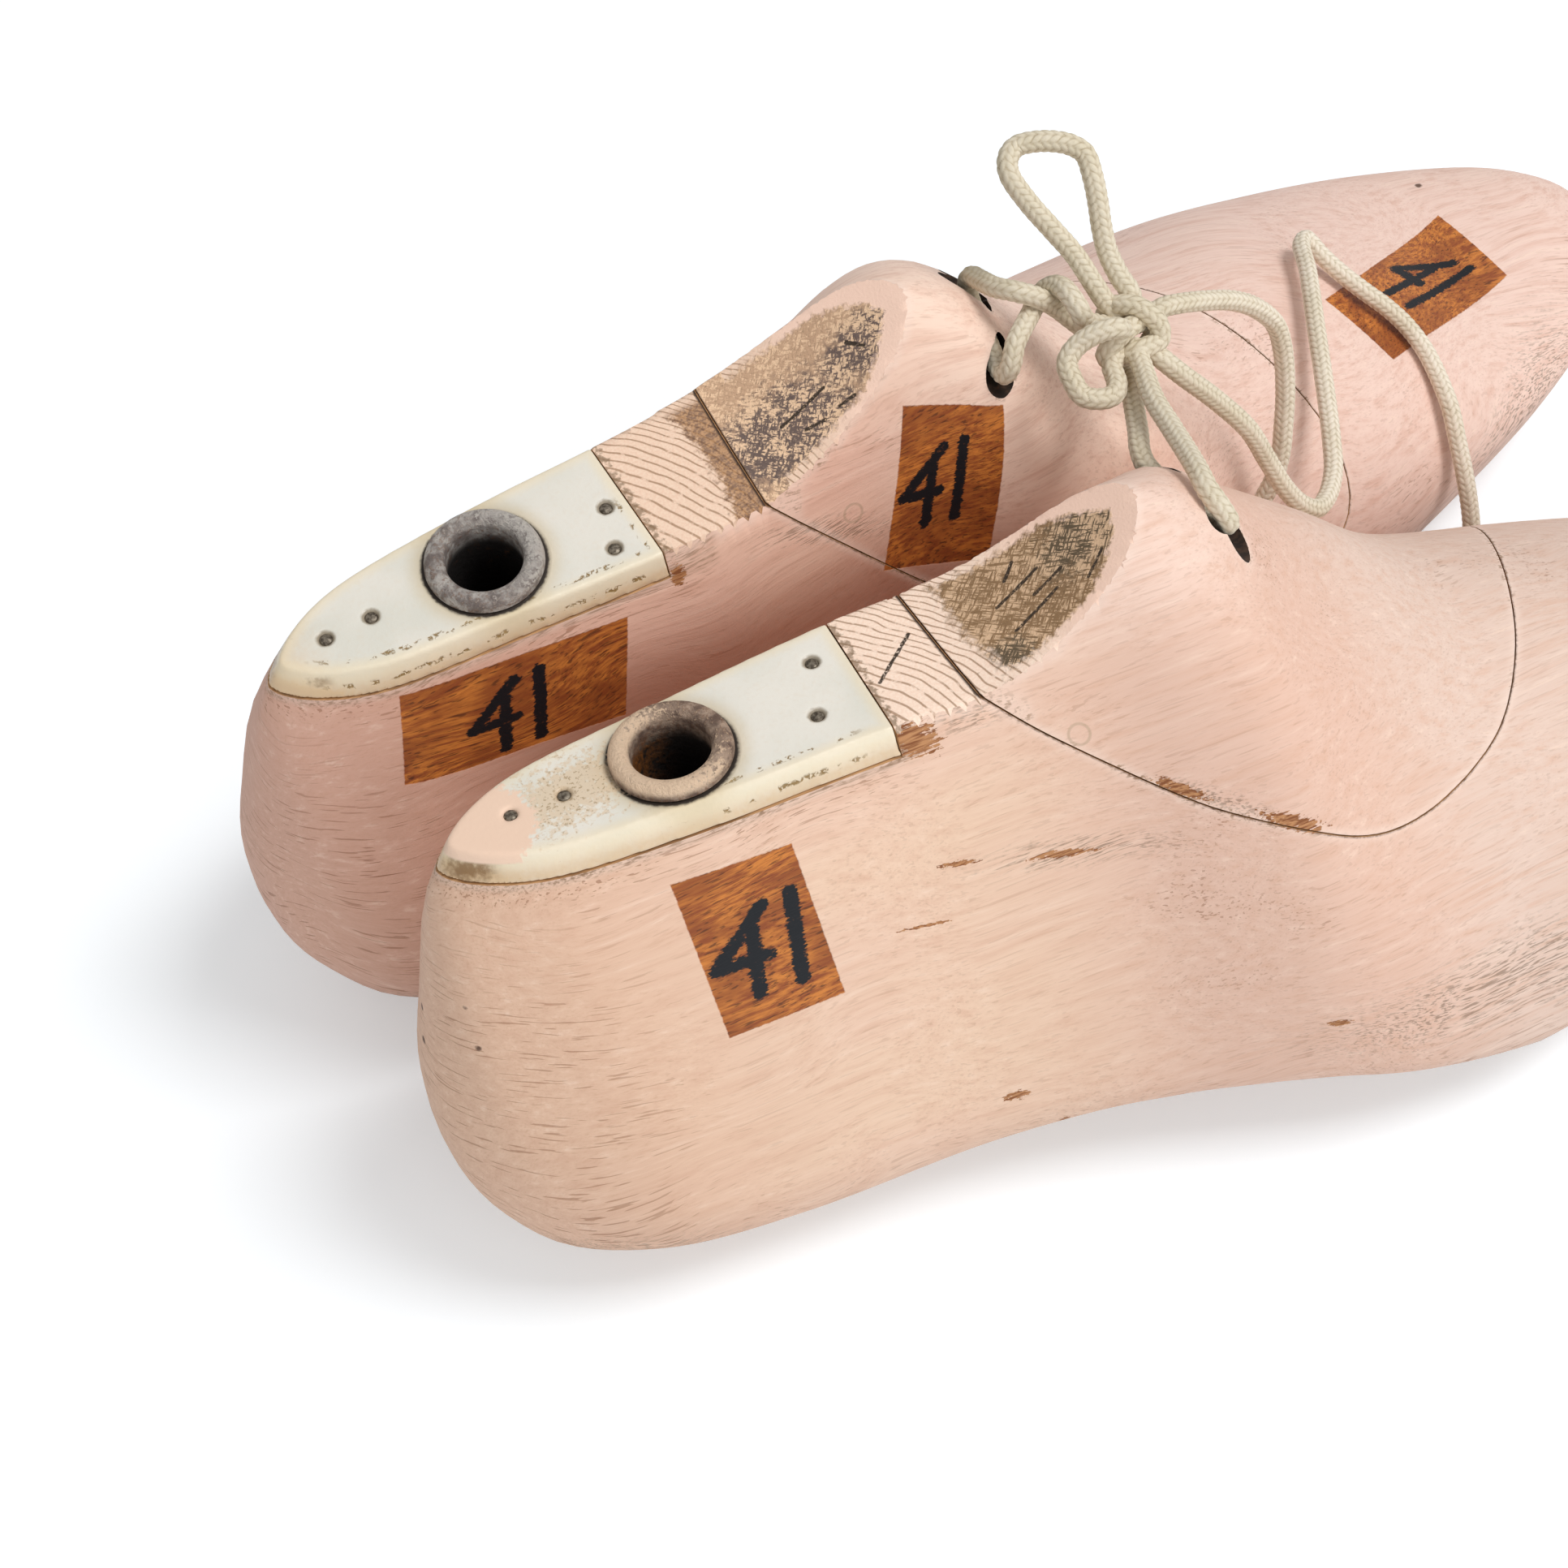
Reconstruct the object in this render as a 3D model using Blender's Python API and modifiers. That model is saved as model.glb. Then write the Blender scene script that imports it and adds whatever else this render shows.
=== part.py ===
"""A pair of wooden shoe lasts with lift-out instep blocks, tied together by a cord.

Lengths are in metres. Each last is modelled in its own frame: X runs from the heel to the toe,
Y across it and Z up from the sole. The left last stands on the -Y side of the pair, with its
inner side towards -Y, and the right last on the +Y side, with its inner side towards +Y.
"""
import math

import bmesh
import bpy
from mathutils import Matrix, Vector

MM = 0.001
GAP = 0.0003                # clearance between touching pieces

# Sections of the last: distance from the heel, sole height, ridge height, inner and outer half
# width, offset of the ridge towards the inner side, height of the widest point, all in
# millimetres, then the roundness exponents of the lower and the upper half of the section.
LAST_SECTIONS = (
    (0.0, 32.7, 32.7, 0.0, 0.0, 0.0, 32.7, 2.0, 2.0),
    (1.5, 21.1, 47.4, 8.3, 8.1, 0.0, 32.0, 2.0, 1.9),
    (5.0, 11.7, 62.0, 14.2, 13.6, 0.0, 30.0, 2.0, 1.7),
    (12.0, 3.1, 86.5, 20.6, 20.9, 0.0, 27.3, 2.1, 1.4),
    (26.0, 0.0, 102.5, 26.9, 27.1, 0.0, 24.0, 2.2, 1.3),
    (48.0, 0.3, 108.4, 29.4, 28.0, -0.4, 21.2, 2.5, 1.3),
    (80.0, 3.1, 111.4, 32.2, 29.4, -1.8, 21.0, 2.6, 1.3),
    (105.0, 6.8, 110.4, 37.8, 31.0, 0.0, 19.4, 2.6, 1.35),
    (120.0, 7.6, 107.5, 43.0, 31.8, 0.5, 16.0, 2.7, 1.6),
    (130.0, 7.5, 101.5, 46.6, 32.5, -1.5, 13.0, 2.7, 1.85),
    (142.0, 5.7, 89.0, 49.9, 33.2, -5.0, 10.4, 2.7, 1.85),
    (157.0, 3.7, 75.5, 51.7, 34.6, -6.5, 9.8, 2.8, 1.75),
    (174.0, 1.9, 61.8, 51.4, 36.0, -1.0, 12.3, 2.8, 1.9),
    (200.0, 0.0, 53.8, 46.5, 35.4, 6.0, 17.3, 2.9, 1.9),
    (225.0, 1.6, 41.3, 42.8, 30.1, 8.0, 20.4, 2.9, 2.0),
    (250.0, 6.0, 30.0, 37.2, 22.5, 11.5, 20.0, 2.8, 2.1),
    (270.0, 10.8, 28.0, 28.5, 13.5, 11.1, 19.2, 2.4, 2.0),
    (279.0, 13.4, 25.2, 23.0, 6.5, 10.4, 18.4, 2.2, 2.0),
    (285.0, 15.6, 21.6, 17.5, 0.0, 9.5, 17.9, 2.0, 2.0),
    (288.0, 17.5, 17.5, 8.5, -8.5, 8.5, 17.5, 2.0, 2.0),
)
LENGTH_STEP = 0.010         # spacing of the loft's rings along the last
END_CAP = 0.0003            # how far the first and last ring lie inside the ends
END_RINGS = (0.001, 0.0025, 0.005, 0.0085, 0.013)
QUARTER_STEPS = 6           # sides on a quarter of a section
RAIL_STEPS = 16             # steps a stretch on the smooth curves between the sections

# The flat sawn top over the heel, and the concave rise to the top of the cone. The sections are
# drawn for a top at TABLE_TOP millimetres, and every height of the last grows with the real one.
TOP_HEIGHT = 0.0911
TABLE_TOP = 91.1
UPWARD = TOP_HEIGHT / (TABLE_TOP * MM)
TOP_FLAT_END = 0.088
CONE_RISE = ((0.0085, 0.0018), (0.0170, 0.0058), (0.0250, 0.0112), (0.0330, 0.0172))
CONE_LEAD_IN = 0.030        # flat stretch before the rise that the curve through it starts from
CONE_RUN_OUT = 0.060        # how far the rise is carried on past the cone, above the wood

# The saw cut that frees the instep block, as the cut's line on the middle plane of the last.
# Towards the inner side the cut climbs and moves back, more so at its front.
CUT_LINE = ((0.0825, 0.0990), (0.0920, 0.0880), (0.1035, 0.0760), (0.1225, 0.0605),
            (0.1430, 0.0505), (0.1580, 0.0430), (0.1700, 0.0408), (0.1800, 0.0443),
            (0.1855, 0.0520), (0.1870, 0.0620))
CUT_CLIMB = 0.37
CUT_SKEW_REAR = 0.25
CUT_SKEW_FRONT = 0.45
CUT_SKEW_FROM = 0.115
CUT_SKEW_TO = 0.165
KERF = 0.0004
CUT_STRIPS = 10
CUT_STEPS = 3
CONE_STEPS = 4
CUTTER_HALF_WIDTH = 0.070
CUTTER_RISE = 0.0600         # how far the cutters reach above the sawn top
CUTTER_TOP = TOP_HEIGHT + CUTTER_RISE
CUTTER_BACK = -0.020

# The plastic plate let into the sawn top over the heel, and its steel socket.
PLATE_THICKNESS = 0.0044
SOCKET_X = 0.0480
SOCKET_BORE = 0.0114
SOCKET_WALL = 0.0010
SOCKET_LENGTH = 0.0400
SOCKET_FLANGE = 0.0178
FLANGE_ROLL = 0.0020
ROLL_STEPS = 8
FLOOR_OF_BORE = 0.0520

# Nails that hold the plate: shank, head and length.
NAIL_SHANK = 0.0015
NAIL_HEAD = 0.0024
NAIL_HEAD_DEPTH = 0.0006
NAIL_LENGTH = 0.0120

# The steel strap in the block, the pin that carries it and the catch pin that its fork straddles.
STRAP_X = 0.1067
STRAP_ABOVE_CUT = 0.0046
STRAP_WIDTH = 0.0080
STRAP_THICKNESS = 0.0020
STRAP_REACH = 0.0200
STRAP_EYE_MARGIN = 0.0026
STRAP_TINE = 0.0030
STRAP_PIN = 0.0026
STRAP_PIN_INNER = 0.0126
STRAP_PIN_OUTER = 0.0150
PIN_HOLE_REACH = 0.0400     # half the length of the drill that makes the strap pin's hole
CATCH_PIN = 0.0030
CATCH_PIN_LENGTH = 0.0120

# The blocks are drawn straight up and a little back.
PULL = Vector((-0.2, 0.0, 1.0)).normalized()

# The hole for the cord, just under the front edge of the cone: two points of its axis, with Y
# towards the inner side.
CORD_HOLE = 0.0052
HOLE_OUTER = (0.1295, -0.0120, 0.0962)
HOLE_INNER = (0.1330, 0.0015, 0.0962)
HOLE_OVERRUN = 0.0200       # how far the drill goes on past both points

# How each last stands: side of its inner edge, place of its frame, lean and turn in degrees, and
# the sizes that differ between the two.
LASTS = {
    "left": {"inner": -1, "at": (-0.1396, -0.0261), "lean": -7.5, "turn": -4.6,
             "plate_front": 0.0772,
             "nails": ((0.0243, -0.0009), (0.0321, -0.0006), (0.0688, 0.0032), (0.0722, -0.0064))},
    "right": {"inner": 1, "at": (-0.1469, 0.0329), "lean": 5.3, "turn": 2.0,
              "plate_front": 0.0714,
              "nails": ((0.0223, 0.0004), (0.0296, 0.0004), (0.0656, -0.0074), (0.0680, -0.0004))},
}

# The cotton cord, as millimetre points along each stretch. A stretch that is tied starts or
# ends at the knot.
CORD = 0.0030
CORD_STEP = 0.0090          # longest run between two points of a tube
CORD_TURN = 32.0            # sharpest turn between two points of a tube, in degrees
ROUTE_STEPS = 12            # steps a stretch on the smooth curve through a route
KNOT_CENTRE = (2.0, 10.0, 98.5)
KNOT = 0.0092
CORD_ROUTES = {
    "cord_left_loop": ((0, 3, 98), (-2.5, -3.5, 99), (-4, -10.5, 100), (-5.5, -16.5, 101.5),
                       (-7, -21.5, 103), (-7.7, -24.6, 103), (-7.2, -27.3, 101.4),
                       (-6.4, -28.6, 98.9), (-6.2, -26.8, 96.9), (-6.8, -23, 96.2),
                       (-7.5, -19, 95.8), (-8.4, -13, 95), (-8.3, -10.5, 94.9),
                       (-7.5, -8, 94.9), (-5.5, -4.5, 94.5), (-2, 2.5, 94), (0.5, 7.5, 93)),
    "cord_right_loop": ((-2.5, 14, 97.5), (-4, 16, 98.8), (-6, 18, 101), (-9, 18.8, 104),
                        (-11.5, 20.5, 105), (-13, 23.5, 104), (-13.1, 27.6, 102),
                        (-13.1, 30.4, 100.5), (-13.3, 31.2, 98.3), (-13.9, 29.5, 96.8),
                        (-14.6, 26, 96.3), (-16, 20, 95.6), (-16.8, 16.4, 95.4),
                        (-17, 14.3, 95.9), (-16.4, 13.6, 98), (-14.8, 15, 100.5),
                        (-12, 17, 101.2), (-9.2, 19.2, 101), (-7.2, 20.8, 101.3),
                        (-6, 20.5, 102.6), (-5.2, 18.4, 104.6), (-5.4, 15.3, 105.6),
                        (-5.2, 13, 104.6), (-4.2, 12.3, 102)),
    "cord_bow_loop": ((0.2, 14, 102.3), (-0.8, 16, 105), (-2, 19.5, 108.5), (-4, 22.5, 112),
                      (-6, 26.5, 115.5), (-7, 30, 118.5), (-6, 32, 119.5), (-4, 33, 120),
                      (-1.5, 32, 120.5), (1, 30.5, 120.5), (3, 29, 120), (4.3, 27.3, 119),
                      (4, 24.5, 117), (3.5, 22, 114), (3, 20, 111), (3, 18, 107.5),
                      (3.4, 15.4, 104.8), (4, 12.8, 102.6)),
    "cord_small_loop": ((-2.5, 7, 104.3), (-4, 7.2, 104.6), (-6, 7.8, 104), (-8.5, 8.3, 102.5),
                        (-10.5, 7.5, 101), (-11, 5, 99.5), (-10.5, 3, 98), (-8.5, 1.5, 97.5),
                        (-6, 1.5, 97), (-4.3, 3.3, 97), (-3.2, 6.3, 97.3)),
    "cord_short_end": ((9, 11.3, 98.5), (12, 11.5, 97.5), (18, 12, 94.5), (23.5, 12.5, 91),
                       (28, 12.5, 87), (32, 12, 81.5), (33.5, 11, 75.5), (33.5, 9, 68),
                       (32.5, 7, 62), (31.5, 5.5, 57), (30, 4.5, 53), (28, 4, 49.5),
                       (26, 3, 46)),
    "cord_long_end": ((4.2, 4.5, 96.5), (7, 2.5, 93), (12.5, 0.8, 86), (18, -1.5, 78),
                      (21.5, -3, 70), (24.3, -5, 63.5), (27.5, -6, 58.5), (30.8, -6, 55.5),
                      (35, -3.5, 53.5), (39.5, 1, 52.5), (43, 6.5, 53), (48, 15.5, 54),
                      (53.5, 26, 55.5), (60.5, 38.5, 55.5), (64.3, 45.5, 54), (66.5, 47, 53),
                      (67.8, 43.8, 51), (69.5, 40, 49), (71.7, 36, 47), (74.5, 32, 44.5),
                      (76.5, 28.5, 42), (77.5, 24, 39.5), (77.3, 19, 37), (76.5, 14, 34.5),
                      (75.7, 9.5, 30), (75, 4.5, 24), (74.5, 0.5, 17), (73.5, -2.5, 10),
                      (71, -3, 4.5), (66, -2.5, 1.8), (58, -1, 1.8), (48, -0.2, 1.8)),
}
ONE_END_TIED = ("cord_short_end", "cord_long_end")
CORD_LIFT = Vector((0.0, 0.0, HOLE_INNER[2] * (UPWARD - 1)))

ROUND_SIDES = 24
SMALL_SIDES = 12
KNOT_SIDES = 16
SHARP_ANGLE = math.radians(35.0)
WELD = 1e-6                 # distance within which a turned shape's points are merged

PAINTED_WOOD = ("painted_wood", (0.87, 0.70, 0.62), 0.62, 0.0)
BLOCK_WOOD = ("painted_block", (0.88, 0.72, 0.64), 0.62, 0.0)
IVORY_PLASTIC = ("ivory_plastic", (0.86, 0.84, 0.74), 0.32, 0.0)
RUSTED_STEEL = ("rusted_steel", (0.16, 0.12, 0.11), 0.60, 0.8)
NAIL_STEEL = ("nail_steel", (0.36, 0.34, 0.30), 0.50, 0.9)
STRAP_STEEL = ("strap_steel", (0.45, 0.44, 0.42), 0.40, 1.0)
COTTON = ("cotton_cord", (0.84, 0.80, 0.66), 0.90, 0.0)


def clear_scene():
    for old in list(bpy.data.objects):
        bpy.data.objects.remove(old, do_unlink=True)
    for old in list(bpy.data.collections):
        bpy.data.collections.remove(old)


def new_collection(name):
    made = bpy.data.collections.new(name)
    bpy.context.scene.collection.children.link(made)
    return made


def material(spec):
    name, colour, roughness, metallic = spec
    if name in bpy.data.materials:
        return bpy.data.materials[name]
    made = bpy.data.materials.new(name)
    made.use_nodes = True
    shader = made.node_tree.nodes["Principled BSDF"]
    shader.inputs["Base Color"].default_value = (*colour, 1.0)
    shader.inputs["Roughness"].default_value = roughness
    shader.inputs["Metallic"].default_value = metallic
    return made


def add_object(name, shape, collection, parent=None, look=None):
    """Turn a bmesh into an object, in its parent's frame."""
    mesh = bpy.data.meshes.new(name)
    shape.to_mesh(mesh)
    shape.free()
    mesh.shade_smooth()
    mesh.set_sharp_from_angle(angle=SHARP_ANGLE)
    made = bpy.data.objects.new(name, mesh)
    collection.objects.link(made)
    made.parent = parent
    if look:
        mesh.materials.append(material(look))
    return made


def cutter(name, shape, parent):
    made = add_object(name, shape, CUTTERS, parent)
    made.hide_render = True
    made.display_type = "WIRE"
    return made


def boolean(target, tool, operation="DIFFERENCE"):
    cut = target.modifiers.new(tool.name, "BOOLEAN")
    cut.operation = operation
    cut.solver = "EXACT"
    cut.object = tool


def smooth_curve(points, steps):
    """Centripetal Catmull-Rom curve through the points, with the given steps a stretch."""
    ends = [2 * points[0] - points[1]], [2 * points[-1] - points[-2]]
    chain = ends[0] + list(points) + ends[1]
    curve = []
    for p0, p1, p2, p3 in zip(chain, chain[1:], chain[2:], chain[3:]):
        t1 = math.sqrt(max((p1 - p0).length, 1e-9))
        t2 = t1 + math.sqrt(max((p2 - p1).length, 1e-9))
        t3 = t2 + math.sqrt(max((p3 - p2).length, 1e-9))
        for step in range(steps):
            t = t1 + (t2 - t1) * step / steps
            a1 = p0.lerp(p1, t / t1)
            a2 = p1.lerp(p2, (t - t1) / (t2 - t1))
            a3 = p2.lerp(p3, (t - t2) / (t3 - t2))
            b1 = a1.lerp(a2, t / t2)
            b2 = a2.lerp(a3, (t - t1) / (t3 - t1))
            curve.append(b1.lerp(b2, (t - t1) / (t2 - t1)))
    curve.append(chain[-2].copy())
    return curve


def rail(column):
    """A smooth function of the distance from the heel through one column of the sections."""
    knots = [Vector((row[0], row[column])) for row in LAST_SECTIONS]
    curve = smooth_curve(knots, RAIL_STEPS)

    def value(x):
        x = x / MM
        for low, high in zip(curve, curve[1:]):
            if low.x <= x <= high.x and high.x > low.x:
                return low.y + (high.y - low.y) * (x - low.x) / (high.x - low.x)
        return curve[-1].y
    return value


RAILS = [rail(column) for column in range(1, 9)]
LAST_LENGTH = LAST_SECTIONS[-1][0] * MM


def section(x, inner):
    """One closed ring of the last at distance x from the heel."""
    sole, ridge, wide_in, wide_out, offset, waist, low, high = (rail_at(x) for rail_at in RAILS)
    waist = min(max(waist, sole + 0.12 * (ridge - sole)), ridge - 0.3 * (ridge - sole))
    middle = (wide_in - wide_out) / 2
    half = max((wide_in + wide_out) / 2, 0.3)
    ring = []
    for step in range(4 * QUARTER_STEPS):
        quarter, part = divmod(step, QUARTER_STEPS)
        if quarter in (1, 3):
            part = QUARTER_STEPS - part
        angle = part / QUARTER_STEPS * math.pi / 2
        if quarter in (0, 3):
            across = half * math.sin(angle) ** (2 / low)
            up = waist - (waist - sole) * math.cos(angle) ** (2 / low)
            shift = 0.0
        else:
            across = half * math.sin(angle) ** (2 / high)
            rise = math.cos(angle) ** (2 / high)
            up = waist + (ridge - waist) * rise
            shift = (offset - middle) * rise ** 1.3
        if quarter > 1:
            across = -across
        ring.append(Vector((x, inner * (middle + across + shift) * MM, up * UPWARD * MM)))
    return ring


def ring_places():
    """Distances of the loft's rings from the heel, close together at both ends."""
    first = [END_CAP, *END_RINGS]
    last = [LAST_LENGTH - x for x in reversed(first)]
    count = round((last[0] - first[-1]) / LENGTH_STEP)
    step = (last[0] - first[-1]) / count
    return first + [first[-1] + step * i for i in range(1, count)] + last


def last_form(inner):
    """The whole turned form of a last, before its top is sawn and its block is cut."""
    shape = bmesh.new()
    rings = [[shape.verts.new(p) for p in section(x, inner)] for x in ring_places()]
    for back, front in zip(rings, rings[1:]):
        for i, corner in enumerate(back):
            j = (i + 1) % len(back)
            shape.faces.new((corner, back[j], front[j], front[i]))
    shape.faces.new(rings[0])
    shape.faces.new(rings[-1])
    bmesh.ops.recalc_face_normals(shape, faces=shape.faces)
    return shape


def side_loft(outlines):
    """A solid through outlines that have as many points, listed from one side to the other."""
    shape = bmesh.new()
    rows = [[shape.verts.new(p) for p in outline] for outline in outlines]
    for near, far in zip(rows, rows[1:]):
        for i, corner in enumerate(near):
            j = (i + 1) % len(near)
            shape.faces.new((corner, near[j], far[j]))
            shape.faces.new((corner, far[j], far[i]))
    shape.faces.new(rows[0])
    shape.faces.new(rows[-1])
    bmesh.ops.recalc_face_normals(shape, faces=shape.faces)
    return shape


def straight_cut(outline):
    """A solid with the given X and Z outline, extruded straight across the last."""
    shape = bmesh.new()
    face = shape.faces.new([shape.verts.new((x, -CUTTER_HALF_WIDTH, z)) for x, z in outline])
    grown = bmesh.ops.extrude_face_region(shape, geom=[face])["geom"]
    bmesh.ops.translate(shape, vec=(0.0, 2 * CUTTER_HALF_WIDTH, 0.0),
                        verts=[item for item in grown if isinstance(item, bmesh.types.BMVert)])
    bmesh.ops.recalc_face_normals(shape, faces=shape.faces)
    return shape


def waste_above_top():
    """The wood that is sawn off above the heel and the cone."""
    points = ((-CONE_LEAD_IN, 0.0), (0.0, 0.0), *CONE_RISE)
    rise = [Vector((TOP_FLAT_END + x, TOP_HEIGHT + z * UPWARD)) for x, z in points]
    slope = (rise[-1] - rise[-2]).normalized()
    curve = smooth_curve(rise, CONE_STEPS)[CONE_STEPS:]
    end = rise[-1] + slope * CONE_RUN_OUT
    outline = [(CUTTER_BACK, TOP_HEIGHT)] + [tuple(p) for p in curve] + [tuple(end)]
    return straight_cut(outline + [(end.x, CUTTER_TOP), (CUTTER_BACK, CUTTER_TOP)])


def cut_curve():
    """The saw cut as a smooth curve on the middle plane."""
    return smooth_curve([Vector((x, z * UPWARD)) for x, z in CUT_LINE], CUT_STEPS)


def cut_line(inset):
    """The block's outline on the middle plane, moved in from the saw cut by an inset."""
    line = []
    curve = cut_curve()
    for i, point in enumerate(curve):
        along = curve[min(i + 1, len(curve) - 1)] - curve[max(i - 1, 0)]
        line.append(point + Vector((-along.y, along.x)).normalized() * inset)
    line.append(Vector((line[-1].x, CUTTER_TOP)))
    line.append(Vector((line[0].x, CUTTER_TOP)))
    return line


def block_space(inner, inset):
    """Everything above the skewed saw cut, less an inset."""
    sides = []
    for strip in range(CUT_STRIPS + 1):
        across = (2 * strip / CUT_STRIPS - 1) * CUTTER_HALF_WIDTH
        side = []
        for point in cut_line(inset):
            share = (point.x - CUT_SKEW_FROM) / (CUT_SKEW_TO - CUT_SKEW_FROM)
            share = min(max(share, 0.0), 1.0)
            share = share * share * (3 - 2 * share)
            skew = CUT_SKEW_REAR + (CUT_SKEW_FRONT - CUT_SKEW_REAR) * share
            side.append(Vector((point.x - skew * across, inner * across,
                                point.y + CUT_CLIMB * across)))
        sides.append(side)
    return side_loft(sides)


def cut_height(x):
    """Height of the saw cut on the middle plane at distance x from the heel."""
    curve = cut_curve()
    for low, high in zip(curve, curve[1:]):
        if low.x <= x <= high.x:
            return low.y + (high.y - low.y) * (x - low.x) / (high.x - low.x)
    raise ValueError("the saw cut doesn't reach this far along the last")


def plate_space(front, inset):
    """The step in the sawn top that the plate fills, less an inset."""
    low = Vector((CUTTER_BACK, -CUTTER_HALF_WIDTH, TOP_HEIGHT - PLATE_THICKNESS + inset))
    high = Vector((front - inset, CUTTER_HALF_WIDTH, CUTTER_TOP))
    place = Matrix.Translation((low + high) / 2) @ Matrix.Diagonal((*(high - low), 1.0))
    shape = bmesh.new()
    bmesh.ops.create_cube(shape, size=1.0, matrix=place)
    return shape


def turned(profile, sides=ROUND_SIDES):
    """A closed solid turned about Z from points of radius and height.

    The points run down the outer side. Where they don't start on the axis, they close a ring.
    """
    edges = [(i, i + 1) for i in range(len(profile) - 1)]
    if profile[0][0] > 0:
        edges.append((len(profile) - 1, 0))
    outline = bpy.data.meshes.new("outline")
    outline.from_pydata([(radius, 0.0, height) for radius, height in profile], edges, [])
    holder = bpy.data.objects.new("outline", outline)
    CUTTERS.objects.link(holder)
    screw = holder.modifiers.new("turn", "SCREW")
    screw.steps = screw.render_steps = sides
    screw.use_merge_vertices = True
    screw.merge_threshold = WELD
    shape = bmesh.new()
    shape.from_object(holder, bpy.context.evaluated_depsgraph_get())
    bpy.data.objects.remove(holder)
    bpy.data.meshes.remove(outline)
    return shape


def rod(radius, start, end, sides=SMALL_SIDES):
    """A round bar between two points."""
    along = end - start
    shape = bmesh.new()
    bmesh.ops.create_cone(shape, cap_ends=True, segments=sides, radius1=radius, radius2=radius,
                          depth=along.length)
    turn = along.to_track_quat("Z", "Y").to_matrix().to_4x4()
    bmesh.ops.transform(shape, matrix=Matrix.Translation((start + end) / 2) @ turn,
                        verts=shape.verts)
    return shape


def moved(shape, place):
    bmesh.ops.transform(shape, matrix=place, verts=shape.verts)
    return shape


def socket_profile():
    """Radius and height of the steel socket: a tube with its rim rolled out over the plate."""
    bore = SOCKET_BORE / 2
    rim = SOCKET_FLANGE / 2
    base = TOP_HEIGHT + GAP
    roll = (rim - bore) / 2
    arc = [(bore + roll - roll * math.cos(math.pi * i / ROLL_STEPS),
            base + FLANGE_ROLL * math.sin(math.pi * i / ROLL_STEPS))
           for i in range(ROLL_STEPS + 1)]
    foot = TOP_HEIGHT - SOCKET_LENGTH
    return [(bore + SOCKET_WALL, base), (bore + SOCKET_WALL, foot), (bore, foot), *arc]


def nail_profile(clearance):
    """Half section of a nail whose head is sunk flush, grown by a clearance for its hole."""
    head = NAIL_HEAD / 2 + clearance
    shank = NAIL_SHANK / 2 + clearance
    top = TOP_HEIGHT + clearance
    neck = TOP_HEIGHT - NAIL_HEAD_DEPTH - clearance
    tip = TOP_HEIGHT - NAIL_LENGTH - clearance
    return [(0.0, top), (head, top), (head, neck), (shank, neck),
            (shank, tip + NAIL_SHANK), (0.0, tip)]


def nail(place, inner, clearance):
    """One nail of the plate, or with a clearance its hole."""
    x, y = place
    return moved(turned(nail_profile(clearance), SMALL_SIDES),
                 Matrix.Translation((x, inner * y, 0.0)))


def bar(width, thickness, low, high, place):
    """A flat bar along Z between two heights, moved to its place."""
    shape = bmesh.new()
    bmesh.ops.create_cube(shape, size=1.0)
    bmesh.ops.scale(shape, vec=(width, thickness, high - low), verts=shape.verts)
    bmesh.ops.translate(shape, vec=(0, 0, (high + low) / 2), verts=shape.verts)
    return moved(shape, place)


def last_frame(name, spec):
    """The empty that carries one last, leaning and turned as it stands."""
    empty = bpy.data.objects.new(name + "_last_frame", None)
    PARTS.objects.link(empty)
    empty.rotation_euler = (math.radians(spec["lean"]), 0.0, math.radians(spec["turn"]))
    empty.location = (*spec["at"], 0.0)
    return empty


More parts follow.
